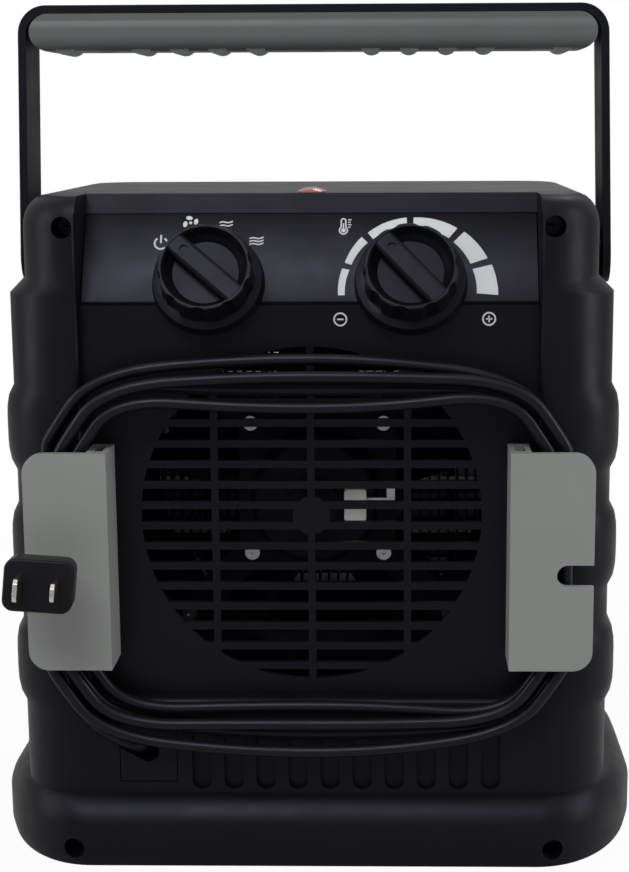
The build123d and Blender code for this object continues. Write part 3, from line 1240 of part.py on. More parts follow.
def thermal_cutout():
    """Disc thermostat on the heater frame."""
    z = GRILLE_Z + HEATER_HALF_HEIGHT - HEATER_BORDER / 2
    disc = rod_y(CUTOUT_X, z, HEATER_BORDER / 2, HEATER_Y - CUTOUT_DEPTH, HEATER_Y)
    for side in (-1, 1):
        x = CUTOUT_X + side * CUTOUT_DEPTH / 2
        disc += block(x - TAB_THICK, x + TAB_THICK, HEATER_Y - 2 * CUTOUT_DEPTH,
                      HEATER_Y - CUTOUT_DEPTH + JOIN, z - 2, z + 2)
    return disc


def save(name, shape):
    """Write one piece, or one group of like pieces, as a STEP file."""
    solids = shape if isinstance(shape, list) else [shape]
    bodies = [solid for piece in solids for solid in piece.solids()]
    whole = bodies[0] if len(bodies) == 1 else Compound(bodies)
    export_step(whole, "parts/" + name + ".step")


right_bracket = cord_bracket()
save("front_housing", front_housing())
save("rear_cover", rear_cover())
save("control_panel", control_panel())
save("front_grille", front_grille())
save("case_screws", case_screws())
save("handle_strap", handle_strap())
save("handle_grip", handle_grip())
save("grip_screws", grip_screws())
save("pivot_pins", pivot_pins())
save("pivot_nuts", pivot_nuts())
save("mode_knob", knob(-KNOB_X, MODE_REST))
save("mode_shaft", control_shaft(-KNOB_X, MODE_REST))
save("mode_switch", control_body(-KNOB_X, SWITCH_R, SWITCH_LENGTH))
save("thermostat_knob", knob(KNOB_X, THERMOSTAT_REST))
save("thermostat_shaft", control_shaft(KNOB_X, THERMOSTAT_REST))
save("thermostat", control_body(KNOB_X, THERMOSTAT_R, THERMOSTAT_LENGTH))
save("control_nuts", control_nuts())
save("cord_bracket_right", right_bracket)
save("cord_bracket_left", right_bracket.mirror(Plane.YZ))
save("bracket_screws", bracket_screws())
save("power_cord", power_cord())
save("cord_gland", cord_gland())
save("plug_body", plug_body())
save("plug_blades", plug_blades())
save("indicator_lens", indicator_lens())
save("indicator_lamp", indicator_lamp())
save("fan_shroud", fan_shroud())
save("shroud_screws", rib_screws(SHROUD_Y, SHROUD_THICK))
save("motor_mount", motor_mount())
save("mount_screws", mount_screws())
save("motor_screws", motor_screws())
save("motor_body", motor_body())
save("coil_bobbin", coil_bobbin())
save("coil_terminal", coil_terminal())
save("motor_shaft", motor_shaft())
save("fan_impeller", fan_impeller())
save("heater_frame", heater_frame())
save("heater_screws", rib_screws(HEATER_FRONT_Y, RIB_DEPTH))
save("ptc_bars", ptc_bars())
save("heater_fins", heater_fins())
save("thermal_cutout", thermal_cutout())
save("terminal_block", terminal_block())
save("tip_over_switch", tip_over_switch())
save("tip_over_plunger", tip_over_plunger())
save("rubber_feet", rubber_feet())
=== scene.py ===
import json
from math import acos, cos, pi, radians, sin, sqrt, tan

import bmesh
import bpy
from mathutils import Matrix, Vector


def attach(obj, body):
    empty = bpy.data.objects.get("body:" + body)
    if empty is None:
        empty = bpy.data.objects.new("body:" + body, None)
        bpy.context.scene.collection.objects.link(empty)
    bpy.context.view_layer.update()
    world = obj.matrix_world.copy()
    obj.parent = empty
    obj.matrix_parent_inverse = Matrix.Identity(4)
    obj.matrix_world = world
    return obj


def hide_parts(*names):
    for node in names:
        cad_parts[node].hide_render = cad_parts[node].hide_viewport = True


bl_info = {
    "name": "Portable heater",
    "version": (1, 0, 0),
    "blender": (4, 5, 0),
    "location": "View3D > Sidebar > Heater",
    "description": "Dresses the portable fan heater with its finishes, prints, cord and studio",
    "category": "Object",
}

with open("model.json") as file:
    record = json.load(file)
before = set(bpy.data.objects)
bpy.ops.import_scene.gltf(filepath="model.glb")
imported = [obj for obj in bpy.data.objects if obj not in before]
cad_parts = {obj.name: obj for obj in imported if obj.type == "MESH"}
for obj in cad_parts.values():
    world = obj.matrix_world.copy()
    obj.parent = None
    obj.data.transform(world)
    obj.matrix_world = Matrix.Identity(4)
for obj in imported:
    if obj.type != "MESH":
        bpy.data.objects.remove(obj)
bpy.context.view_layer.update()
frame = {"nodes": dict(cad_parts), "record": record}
NODES = frame["nodes"]
MM = 0.001
BODIES = frame["record"]["behaviour"]["bodies"]
BODY_OF = {node: body for body, nodes in BODIES.items() for node in nodes}

# How a CAD mesh is cleaned and shaded
MERGE = 0.002 * MM       # points that are closer than this are one
SHORTEST = 0.001 * MM    # shorter edges are dropped
FLAT = radians(0.4)      # faces that turn by less are one flat face
SHARP = radians(35)      # edges that turn by more are drawn sharp
EASED = radians(38)      # edges that turn by more are eased


# Small helpers

def srgb(code):
    """A hex sRGB colour as linear RGBA."""
    parts = [int(code[i:i + 2], 16) / 255 for i in (1, 3, 5)]
    return tuple(c / 12.92 if c <= 0.04045 else ((c + 0.055) / 1.055) ** 2.4 for c in parts) + (1.0,)


def toned(colour, share):
    """A linear colour made darker or lighter by a share."""
    return tuple(min(1.0, c * share) for c in colour[:3]) + (1.0,)


def add(tree, kind, inputs=(), **options):
    """Adds a node. inputs pairs a socket with a constant or with another node's output."""
    made = tree.nodes.new(kind)
    for key, value in options.items():
        setattr(made, key, value)
    for socket, value in dict(inputs).items():
        if isinstance(value, bpy.types.NodeSocket):
            tree.links.new(value, made.inputs[socket])
        else:
            made.inputs[socket].default_value = value
    return made


def settings(name):
    """One of the panel's groups of values."""
    return getattr(bpy.context.scene, "heater_" + name)


def piece_from_mesh(name, mesh, body, material, replaced=()):
    """Links a finished mesh as a piece that rides on a body."""
    piece = bpy.data.objects.new(name, mesh)
    bpy.context.scene.collection.objects.link(piece)
    mesh.materials.clear()
    mesh.materials.append(material)
    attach(piece, body)
    if replaced:
        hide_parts(*replaced)
    return piece


def merged_copy(node):
    """The CAD node's mesh with its loose triangles merged."""
    made = bmesh.new()
    made.from_mesh(NODES[node].data)
    bmesh.ops.remove_doubles(made, verts=made.verts, dist=MERGE)
    bmesh.ops.dissolve_degenerate(made, edges=made.edges, dist=SHORTEST)
    return made


def mesh_of(made, name):
    """Turns a bmesh into a mesh with smooth faces and sharp hard edges."""
    for face in made.faces:
        face.smooth = True
    for edge in made.edges:
        edge.smooth = not edge.is_manifold or edge.calc_face_angle(0) < SHARP
    mesh = bpy.data.meshes.new(name)
    made.to_mesh(mesh)
    made.free()
    return mesh


def evaluated_mesh(piece, name):
    """A plain mesh of what the piece's modifiers make."""
    graph = bpy.context.evaluated_depsgraph_get()
    mesh = bpy.data.meshes.new_from_object(piece.evaluated_get(graph))
    mesh.name = name
    return mesh


def dress(node, material, ease):
    """A smooth-shaded copy of a CAD node in its place, with hard edges eased by some millimetres."""
    name = node + "_skin"
    made = merged_copy(node)
    if ease:
        bmesh.ops.dissolve_limit(made, angle_limit=FLAT, verts=made.verts, edges=made.edges)
    mesh = mesh_of(made, name)
    if ease:
        holder = bpy.data.objects.new(name + "_work", mesh)
        bpy.context.scene.collection.objects.link(holder)
        bevel = holder.modifiers.new("eased edges", "BEVEL")
        bevel.width = ease * MM
        bevel.segments = 2
        bevel.limit_method = "ANGLE"
        bevel.angle_limit = EASED
        bevel.use_clamp_overlap = True
        bevel.harden_normals = True
        mesh = evaluated_mesh(holder, name)
        bpy.data.objects.remove(holder)
    return piece_from_mesh(name, mesh, BODY_OF[node], material, [node])


# Finishes

TONE_DRIFT = 45 * MM     # size of the slow changes of tone in a moulding
GLOSS_PATCH = 14 * MM    # size of the patches where it shines a little more or less
SMOOTHER = 0.04          # roughness taken off in the glossiest patches
ROUGHER = 0.05           # roughness added in the dullest ones
STAMPED_DEPTH = 0.02 * MM
COOL = "#e6e9ff"         # tint of the sheen on black mouldings

# The panel's painted sheen: share of the panel's height, then share of the full sheen
PANEL_PAINTED_SHEEN = ((0.0, 0.0), (0.03, 0.0), (0.05, 0.65), (0.2, 0.92), (0.38, 1.1), (0.6, 0.78), (0.8, 0.48),
               (1.0, 0.2))


def new_finish(name):
    """A new material, its node tree, its shader, and the place on the piece that patterns follow."""
    material = bpy.data.materials.new(name)
    material.use_nodes = True
    tree = material.node_tree
    place = add(tree, "ShaderNodeTexCoord").outputs["Object"]
    return material, tree, tree.nodes["Principled BSDF"], place


def moulded(name, colour, roughness, grain=0.7, depth=0.03, mottle=0.16, shine=0.5):
    """Injection-moulded plastic: a spark-eroded grain and slow, faint changes of tone.

    grain and depth are the pits' width and depth in millimetres.
    """
    material, tree, shader, place = new_finish(name)
    drift = add(tree, "ShaderNodeTexNoise", {"Vector": place, "Scale": 1 / TONE_DRIFT, "Detail": 3.0})
    tone = add(tree, "ShaderNodeMix", {0: drift.outputs["Fac"], 6: toned(colour, 1 - mottle),
                                       7: toned(colour, 1 + mottle)}, data_type="RGBA")
    tree.links.new(tone.outputs[2], shader.inputs["Base Color"])
    sheen = add(tree, "ShaderNodeTexNoise", {"Vector": place, "Scale": 1 / GLOSS_PATCH, "Detail": 4.0})
    rough = add(tree, "ShaderNodeMapRange", {"Value": sheen.outputs["Fac"], "From Min": 0.3,
                                             "From Max": 0.7, "To Min": roughness - SMOOTHER,
                                             "To Max": roughness + ROUGHER})
    tree.links.new(rough.outputs["Result"], shader.inputs["Roughness"])
    # A real spark-eroded grain is about 0.1 mm; it is drawn coarser so that it shows.
    pits = add(tree, "ShaderNodeTexNoise", {"Vector": place, "Scale": 1 / (grain * MM), "Detail": 2.0})
    bump = add(tree, "ShaderNodeBump", {"Height": pits.outputs["Fac"], "Distance": depth * MM,
                                        "Strength": 0.5})
    tree.links.new(bump.outputs["Normal"], shader.inputs["Normal"])
    shader.inputs["IOR"].default_value = 1.5
    shader.inputs["Specular IOR Level"].default_value = shine
    return material


def black(name, colour, roughness, shine, **more):
    """Black moulded plastic: a weak, slightly cool sheen keeps it deep."""
    material = moulded(name, colour, roughness, shine=shine, **more)
    material.node_tree.nodes["Principled BSDF"].inputs["Specular Tint"].default_value = srgb(COOL)
    return material


def panel_black_painted_sheen(name, colour, roughness, shine):
    """The real panel bulges a little; this flat one gets a painted sheen instead, a soft band of specular
    level that fades towards both edges.
    """
    material = black(name, colour, roughness, shine)
    tree = material.node_tree
    sizes = settings("print")
    place = add(tree, "ShaderNodeTexCoord").outputs["Object"]
    place = add(tree, "ShaderNodeSeparateXYZ", {"Vector": place})
    up = add(tree, "ShaderNodeMapRange", {"Value": place.outputs["Z"], "From Min": sizes.panel_low,
                                          "From Max": sizes.panel_high})
    # Painted sheen: this ramp over the panel's height sets the specular level.
    band = add(tree, "ShaderNodeValToRGB", {"Fac": up.outputs["Result"]})
    stops = band.color_ramp.elements
    for at, _ in PANEL_PAINTED_SHEEN[1:-1]:
        stops.new(at)
    for stop, (_, level) in zip(stops, PANEL_PAINTED_SHEEN):
        stop.color = (level * shine, level * shine, level * shine, 1)
    tree.links.new(band.outputs["Color"], tree.nodes["Principled BSDF"].inputs["Specular IOR Level"])
    return material


def metal(name, colour, roughness, line, along=(1, 1, 1)):
    """Metal with fine draw lines or a stamped, slightly uneven face.

    line is the spacing of the lines in millimetres, and along stretches them.
    """
    material, tree, shader, place = new_finish(name)
    spread = add(tree, "ShaderNodeMapping", {"Vector": place, "Scale": along})
    lines = add(tree, "ShaderNodeTexNoise", {"Vector": spread.outputs["Vector"], "Scale": 1 / (line * MM),
                                             "Detail": 3.0})
    tone = add(tree, "ShaderNodeMix", {0: lines.outputs["Fac"], 6: toned(colour, 0.82),
                                       7: toned(colour, 1.1)}, data_type="RGBA")
    tree.links.new(tone.outputs[2], shader.inputs["Base Color"])
    rough = add(tree, "ShaderNodeMapRange", {"Value": lines.outputs["Fac"], "To Min": roughness * 0.8,
                                             "To Max": roughness * 1.25})
    tree.links.new(rough.outputs["Result"], shader.inputs["Roughness"])
    bump = add(tree, "ShaderNodeBump", {"Height": lines.outputs["Fac"], "Distance": STAMPED_DEPTH,
                                        "Strength": 0.4})
    tree.links.new(bump.outputs["Normal"], shader.inputs["Normal"])
    shader.inputs["Metallic"].default_value = 1.0
    return material


MAKERS = {
    # Moulded on a spark-eroded face: deep black, with a weak and broken sheen
    "black_abs": lambda paint: black("moulded black ABS", paint.case, 0.42, 0.12),
    # The same moulding on the panel, with a painted sheen: a soft band of higher specular level along it
    "black_panel_painted_sheen": lambda paint: panel_black_painted_sheen("moulded black ABS, panel with painted sheen", paint.case, 0.4, 0.16),
    # A finer grain on knobs and pins: flutes and edges catch thin lights
    "black_knob": lambda paint: black("moulded black nylon", paint.case, 0.38, 0.1, grain=0.5, depth=0.015),
    # A tough strap: duller than the case
    "black_strap": lambda paint: black("moulded black polypropylene", paint.case, 0.5, 0.12),
    # Coloured through: an even, satin mid-grey
    "grey_abs": lambda paint: moulded("moulded grey ABS", paint.bracket, 0.5, mottle=0.07, shine=0.4),
    # Made to be gripped: a darker grey that hardly shines
    "grey_grip": lambda paint: moulded("moulded grey polypropylene", paint.grip, 0.5, mottle=0.08,
                                       shine=0.3),
    # Extruded, so smoother than the case: each strand shows a thin line of light
    "cord_pvc": lambda paint: black("black PVC cord jacket", paint.cord, 0.34, 0.17, grain=1.2),
    # Moulded round the cord's end: black, and duller than the jacket
    "plug_pvc": lambda paint: black("black PVC plug moulding", paint.cord, 0.42, 0.14, grain=0.6),
    # Pressed resin: a dry, warm beige
    "heat_resin": lambda paint: moulded("heat-resistant phenolic", srgb("#b8ad98"), 0.55, mottle=0.1),
    # Rubber: black with no gloss and a coarse skin
    "foot_rubber": lambda paint: moulded("matt rubber", srgb("#1a1a1a"), 0.75, grain=0.9, depth=0.05),
    # Polished mould: a smooth, dull red dot with a small clear light on it
    "lens_red": lambda paint: moulded("red acrylic lens", paint.lens, 0.2, grain=3.0, depth=0.01),
    # A small bulb: smooth and amber
    "lamp": lambda paint: moulded("amber neon lamp", srgb("#d9a066"), 0.25),
    # Stamped, then plated: bright and slightly warm, with fine lines along the blades
    "nickel": lambda paint: metal("nickel-plated brass", srgb("#d5d1c6"), 0.2, 1.5, along=(1, 0.2, 1)),
    # Bright zinc: pale grey and half dull
    "zinc": lambda paint: metal("zinc-plated steel", srgb("#b9bbbd"), 0.34, 1.2),
    # Blackened screws: dark metal that only glints
    "black_oxide": lambda paint: metal("black-oxide steel", srgb("#2a2a2b"), 0.42, 0.8),
    # Sprayed and baked on sheet steel: plain black, lost in the dark behind the grille
    "lacquer": lambda paint: black("black lacquer on steel", srgb("#0e0e0f"), 0.5, 0.12, grain=2.0),
    # A filled plastic: matt black
    "black_fan": lambda paint: black("moulded black polyamide", srgb("#0c0c0d"), 0.5, 0.12),
    # A pressed frame that stands the heat, dull black: painted shade for the dark inside the case
    "frame_painted_shade": lambda paint: black("heat-resistant phenolic, darkened as painted shade", srgb("#101010"), 0.6, 0.12),
    # Thin aluminium strip, nearly black and dull: painted shade for the dark inside the case
    "element_painted_shade": lambda paint: black("aluminium, darkened as painted shade", srgb("#141414"), 0.55, 0.15,
                                     grain=2.0),
    # Uncoloured moulding: the one pale block behind the grille
    "white_nylon": lambda paint: moulded("white nylon bobbin", srgb("#e6e4de"), 0.45, mottle=0.05),
    # Pad-printed: flat, slightly greyed white
    "ink_white": lambda paint: moulded("white printing ink", paint.icons, 0.5, mottle=0.05),
    # Pad-printed: flat pale grey
    "ink_grey": lambda paint: moulded("pale grey printing ink", paint.bars, 0.5, mottle=0.05),
}
FINISHES = {}


def finish(name):
    """The material of that name, made once."""
    if name not in FINISHES:
        FINISHES[name] = MAKERS[name](settings("colours"))
    return FINISHES[name]


# The finish of each CAD node, and by how many millimetres its edges are eased
DRESSED = {
    "rear_cover": ("black_abs", 0.5), "front_housing": ("black_abs", 0.5),
    # The control panel's finish carries the painted sheen.
    "control_panel": ("black_panel_painted_sheen", 0.25), "front_grille": ("black_abs", 0.3),
    "cord_gland": ("black_abs", 0.25), "rubber_feet": ("foot_rubber", 0.2),
    "tip_over_switch": ("heat_resin", 0.0), "tip_over_plunger": ("heat_resin", 0.0),
    "handle_strap": ("black_strap", 0.5), "handle_grip": ("grey_grip", 0.4),
    "pivot_pins": ("black_knob", 0.2), "pivot_nuts": ("zinc", 0.0),
    "mode_knob": ("black_knob", 0.3), "thermostat_knob": ("black_knob", 0.3),
    "mode_shaft": ("zinc", 0.0), "thermostat_shaft": ("zinc", 0.0), "control_nuts": ("zinc", 0.0),
    "mode_switch": ("heat_resin", 0.0), "thermostat": ("heat_resin", 0.0),
    "indicator_lens": ("lens_red", 0.1), "indicator_lamp": ("lamp", 0.0),
    "cord_bracket_left": ("grey_abs", 0.45), "cord_bracket_right": ("grey_abs", 0.45),
    "bracket_screws": ("zinc", 0.0),
    "plug_body": ("plug_pvc", 0.3), "plug_blades": ("nickel", 0.15),
    "fan_shroud": ("lacquer", 0.0), "shroud_screws": ("zinc", 0.0), "fan_impeller": ("black_fan", 0.0),
    "motor_mount": ("lacquer", 0.0), "mount_screws": ("zinc", 0.0), "motor_screws": ("zinc", 0.0),
    "motor_body": ("lacquer", 0.3), "motor_shaft": ("zinc", 0.0),
    "coil_bobbin": ("white_nylon", 0.2), "coil_terminal": ("zinc", 0.0),
    # The element's frame, fins and bars carry painted shade.
    "heater_frame": ("frame_painted_shade", 0.0), "heater_screws": ("zinc", 0.0),
    "heater_fins": ("element_painted_shade", 0.0), "ptc_bars": ("element_painted_shade", 0.0),
    "thermal_cutout": ("heat_resin", 0.0), "terminal_block": ("heat_resin", 0.0),
}


# Cord route, as in the solid model: runs beside the posts, joined over the top and the bottom

STRAIGHT = 1e-6          # two directions that differ by less need no bend between them


def in_steps(turn, turns):
    """How many steps further in the winding lies after so many turns: in, then out again."""
    return min(turn, turns - turn)


def beside_post(sizes, turn, side):
    """Corner, run and corner beside one post, as points with their directions."""
    half = sizes.turns / 2
    steps = in_steps(turn, sizes.turns)
    x = sizes.side_x - sizes.side_step * steps
    first = sizes.layer_in if turn <= half else sizes.layer_out
    last = sizes.layer_out if turn >= half else sizes.layer_in
    beyond = sizes.corner_step * (half - steps)
    rise = sizes.corner_r * sin(sizes.corner_turn)
    inset = sizes.corner_r * (1 - cos(sizes.corner_turn))
    low = Vector((side * x, first if side < 0 else last, sizes.post_low - beyond + rise))
    high = Vector((side * x, last, sizes.post_high + beyond - rise))
    run = (high - low).normalized()
    lean_in = Vector((-side * sin(sizes.corner_turn), 0, cos(sizes.corner_turn)))
    lean_out = Vector((side * sin(sizes.corner_turn), 0, cos(sizes.corner_turn)))
    bottom = Vector((side * (x - inset), low.y, sizes.post_low - beyond))
    top = Vector((side * (x - inset), high.y, sizes.post_high + beyond))
    return [(bottom, lean_out), (low, run), (high, run), (top, lean_in)]


def cord_stations(sizes):
    """The whole route from the gland to the plug, as points with their directions."""
    right, up, out = Vector((1, 0, 0)), Vector((0, 0, 1)), Vector((0, -1, 0))
    start = Vector(sizes.exit)
    straight = start + out * sizes.diameter
    lead = Vector((-cos(sizes.lead_rise), 0, sin(sizes.lead_rise)))
    bend = straight.y - sizes.layer_in
    turned = Vector((straight.x, sizes.layer_in, straight.z)) + lead * bend
    rise = sizes.corner_r * sin(sizes.corner_turn)
    stations = [(start, out), (straight, out), (turned, lead),
                (Vector((-sizes.side_x, sizes.layer_in, sizes.post_low + rise)), up)]
    for index in range(sizes.turns):
        left = beside_post(sizes, index, -1)
        stations += left[2:] if index == 0 else left
        for quarter, level, step, way in ((0.25, sizes.top_z, -sizes.top_step, right),
                                          (0.75, sizes.bottom_z, sizes.bottom_step, -right)):
            turn = index + quarter
            depth = sizes.layer_in if turn <= sizes.turns / 2 else sizes.layer_out
            z = level + step * in_steps(turn, sizes.turns)
            stations.append((Vector((0, depth, z)), way))
            if way == right:
                stations += [(point, -run) for point, run in reversed(beside_post(sizes, index + 0.5, 1))]
    stations += beside_post(sizes, sizes.turns, -1)[:2]
    level = cos(sizes.plug_rise)
    plug = Vector((sin(sizes.plug_turn) * level, -cos(sizes.plug_turn) * level, sin(sizes.plug_rise)))
    reach = sizes.tail_r * tan(acos(plug.z) / 2)
    before = Vector((-sizes.side_x, sizes.layer_out, sizes.notch_z - reach * (1 + plug.z)))
    parked = before + (up + plug) * reach
    return stations + [(before, up), (parked, plug), (parked + plug * sizes.standoff, plug)]


def cord_controls(sizes):
    """Control points of the route: its ends, and where the directions of its stations meet."""
    stations = cord_stations(sizes)
    points = [stations[0][0]]
    for (start, way), (end, end_way) in zip(stations, stations[1:]):
        chord = end - start
        spread = 2 * (1 - way.dot(end_way))
        if spread > STRAIGHT:
            along = chord.dot(way + end_way)
            reach = (sqrt(along ** 2 + spread * chord.dot(chord)) - along) / spread
            points += [start + way * reach, end - end_way * reach]
    return points + [stations[-1][0]]


# Values that a user would change

PANEL_RISE = 33          # millimetres that the panel rises
PANEL_RUN = 18           # millimetres that it leans back on the way


def distance(name, description, value):
    """A length property in metres, from its value in millimetres."""
    return bpy.props.FloatProperty(name=name, description=description, default=value * MM, unit="LENGTH",
                                   precision=5)


def angle(name, description, value):
    """An angle property, from its value in degrees."""
    return bpy.props.FloatProperty(name=name, description=description, default=radians(value),
                                   subtype="ANGLE")


def tint(name, description, code):
    """A colour property from its hex sRGB value."""
    return bpy.props.FloatVectorProperty(name=name, description=description, subtype="COLOR", size=4,
                                         min=0, max=1, default=srgb(code))


class HeaterColours(bpy.types.PropertyGroup):
    """Colours of the heater's finishes."""
    case: tint("Case", "Moulded case, panel, knobs and strap", "#0c0c0f")
    bracket: tint("Brackets", "Cord brackets", "#787a78")
    grip: tint("Grip", "Handle grip", "#4e5151")
    cord: tint("Cord", "Cord jacket and plug", "#0f0f11")
    lens: tint("Lens", "Indicator lens", "#8f5a59")
    bars: tint("Dial bars", "Printed bars round the thermostat knob", "#bbbfc1")
    icons: tint("Icons", "Printed signs on the panel", "#b9bbbc")


class HeaterCord(bpy.types.PropertyGroup):
    """The cord's thickness and its winding."""
    diameter: distance("Diameter", "Thickness of the cord", 4.4)
    turns: bpy.props.IntProperty(name="Turns", description="Turns round the two posts", default=4, min=2)
    length: distance("Length", "Length from the gland to the plug", 2385)
    side_x: distance("Side", "Outermost turn beside the posts", 98.2)
    side_step: distance("Side step", "One turn further in, beside the posts", 5.3)
    corner_step: distance("Corner step", "An outer turn bends further from the post's end", 3.0)
    corner_r: distance("Corner radius", "Bend at the ends of the posts", 15.0)
    corner_turn: angle("Corner turn", "Angle of the bend at the posts", 35)
    layer_in: distance("Inner layer", "Depth of the inner layer of turns", -80.6)
    layer_out: distance("Outer layer", "Depth of the outer layer of turns", -85.5)
    post_low: distance("Post bottom", "Lower end of the posts", 81.0)
    post_high: distance("Post top", "Upper end of the posts", 163.5)
    top_z: distance("Top", "Height of the outermost turn over the grille", 199.5)
    top_step: distance("Top step", "One turn lower, over the grille", 11.5)
    bottom_z: distance("Bottom", "Height of the outermost turn under the grille", 44.0)
    bottom_step: distance("Bottom step", "One turn higher, under the grille", 11.0)
    exit: bpy.props.FloatVectorProperty(name="Exit", description="Where the cord leaves the gland", size=3,
                                        default=(-63.5 * MM, -64.0 * MM, 43.6 * MM), subtype="XYZ")
    lead_rise: angle("Lead rise", "Slope of the lead from the gland", 30)
    notch_z: distance("Notch", "Height of the notch that holds the plug", 117.5)
    tail_r: distance("Tail bend", "Bend of the cord into the notch", 7.0)
    standoff: distance("Stand-off", "Cord between the notch and the plug", 6.0)
    plug_turn: angle("Plug turn", "How far the parked plug points inwards", 6.5)
    plug_rise: angle("Plug rise", "How far the parked plug points up", 8)


class HeaterPrint(bpy.types.PropertyGroup):
    """Printed signs on the control panel."""
    ink: distance("Ink", "Height of the ink over the panel", 0.06)
    stroke: distance("Stroke", "Width of the lines of the signs", 0.65)
    knob_x: distance("Knobs", "Distance of the knobs from the middle", 37.6)
    knob_up: distance("Knob height", "Knob axes above the panel's lower edge", 8.7)
    panel_low: distance("Panel edge", "Height of the panel's lower edge", 215.7)
    panel_high: distance("Panel top", "Height of the panel's upper edge", 248.7)
    panel_y: distance("Panel depth", "Depth of the panel's lower edge", -72.0)
    slope: bpy.props.FloatProperty(name="Slope", description="Lean of the panel from upright",
                                   default=acos(PANEL_RISE / sqrt(PANEL_RISE ** 2 + PANEL_RUN ** 2)),
                                   subtype="ANGLE")


class HeaterScrews(bpy.types.PropertyGroup):
    """Deep screws of the case and of the grip."""
    head_r: distance("Head radius", "Radius of the case screws' heads", 3.4)
    head: distance("Head height", "Height of the heads", 2.4)
    shank_r: distance("Shank radius", "Radius of the case screws' shanks", 1.75)
    grip_head_r: distance("Grip head radius", "Radius of the grip screws' heads", 3.0)
    grip_shank_r: distance("Grip shank radius", "Radius of the grip screws' shanks", 1.5)
    cross: distance("Cross", "Width of the cross recess", 0.9)
    upper_x: distance("Upper screws", "Distance of the upper screws from the middle", 90.2)
    upper_z: distance("Upper height", "Height of the upper screws", 244.7)
    upper_seat: distance("Upper seat", "Depth of the upper heads' seats", -61.6)
    lower_x: distance("Lower screws", "Distance of the lower screws from the middle", 92.0)
    lower_z: distance("Lower height", "Height of the lower screws", 7.6)
    lower_seat: distance("Lower seat", "Depth of the lower heads' seats", -70.6)
    tip: distance("Tip", "Depth of the screws' tips", -17.0)
    grip_x: distance("Grip screws", "Distance of the outer grip screws from the middle", 81.7)
    grip_y: distance("Grip depth", "Depth of the grip's middle", -14.0)
    grip_seat: distance("Grip seat", "Height of the grip screws' seats", 319.067)
    grip_tip: distance("Grip tip", "Height of the grip screws' tips", 325.4)


class HeaterStudio(bpy.types.PropertyGroup):
    """Camera and light."""
    eye: bpy.props.FloatVectorProperty(name="Eye", description="Place of the camera", size=3, subtype="XYZ",
                                       default=(0.034, -0.699, 0.283))
    pitch: angle("Pitch", "Camera's tilt down", 10.53)
    yaw: angle("Yaw", "Camera's turn to the left", 1.1)
    roll: angle("Roll", "Camera's roll", -0.23)
    lens: bpy.props.FloatProperty(name="Lens", description="Focal length on a 36 mm wide frame",
                                  default=97.3, unit="CAMERA")
    shift: bpy.props.FloatProperty(name="Shift", description="Sideways shift of the frame", default=-0.0866)
    floor: tint("Floor", "Pale floor", "#c4c4c4")
    ambient: bpy.props.FloatProperty(name="Ambient", description="Light from all around", default=0.3,
                                     min=0)


# Pieces

def dress_all(*nodes):
    """Dresses each CAD node with its finish."""
    for node in nodes:
        name, ease = DRESSED[node]
        dress(node, finish(name), ease)


class HEATER_OT_case(bpy.types.Operator):
    """Case halves, panel, outlet grille, cord gland, feet and the tip-over switch"""
    bl_idname = "heater.case"
    bl_label = "Case"

    def execute(self, context):
        dress_all("rear_cover", "front_housing", "control_panel", "front_grille", "cord_gland",
                  "rubber_feet", "tip_over_switch", "tip_over_plunger")
        return {"FINISHED"}


class HEATER_OT_handle(bpy.types.Operator):
    """Carry handle: strap, grip and pivots"""
    bl_idname = "heater.handle"
    bl_label = "Handle"

    def execute(self, context):
        dress_all("handle_strap", "handle_grip", "pivot_pins", "pivot_nuts")
        return {"FINISHED"}


class HEATER_OT_controls(bpy.types.Operator):
    """Knobs, what they turn, and the indicator"""
    bl_idname = "heater.controls"
    bl_label = "Controls"

    def execute(self, context):
        dress_all("mode_knob", "thermostat_knob", "mode_shaft", "thermostat_shaft", "mode_switch",
                  "thermostat", "control_nuts", "indicator_lens", "indicator_lamp")
        return {"FINISHED"}


class HEATER_OT_brackets(bpy.types.Operator):
    """Grey brackets that the cord is wound on"""
    bl_idname = "heater.brackets"
    bl_label = "Cord brackets"

    def execute(self, context):
        dress_all("cord_bracket_left", "cord_bracket_right", "bracket_screws")
        return {"FINISHED"}


class HEATER_OT_cord(bpy.types.Operator):
    """Power cord wound round the brackets, with its plug"""
    bl_idname = "heater.cord"
    bl_label = "Power cord"

    def execute(self, context):
        sizes = settings("cord")
        curve = bpy.data.curves.new("power_cord_line", "CURVE")
        curve.dimensions = "3D"
        curve.bevel_depth = sizes.diameter / 2
        curve.bevel_resolution = 5
        curve.resolution_u = 8
        curve.use_fill_caps = True
        line = curve.splines.new("NURBS")
        points = cord_controls(sizes)
        line.points.add(len(points) - 1)
        for target, point in zip(line.points, points):
            target.co = (*point, 1.0)
        line.order_u = 3
        line.use_endpoint_u = True
        curve.materials.append(finish("cord_pvc"))
        cord = bpy.data.objects.new("power_cord_line", curve)
        context.scene.collection.objects.link(cord)
        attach(cord, "case")
        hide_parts("power_cord")
        dress_all("plug_body", "plug_blades")
        return {"FINISHED"}


class HEATER_OT_blower(bpy.types.Operator):
    """Fan, motor and shroud behind the intake grille"""
    bl_idname = "heater.blower"
    bl_label = "Blower"

    def execute(self, context):
        dress_all("fan_shroud", "shroud_screws", "motor_mount", "mount_screws", "motor_screws",
                  "motor_body", "motor_shaft", "fan_impeller", "coil_bobbin", "coil_terminal")
        return {"FINISHED"}


class HEATER_OT_element(bpy.types.Operator):
    """Ceramic heating element behind the outlet grille"""
    bl_idname = "heater.element"
    bl_label = "Heating element"

    def execute(self, context):
        dress_all("heater_frame", "heater_screws", "ptc_bars", "heater_fins", "thermal_cutout",
                  "terminal_block")
        return {"FINISHED"}


# Prints: sizes and places in millimetres, from the middle of the panel's lower edge

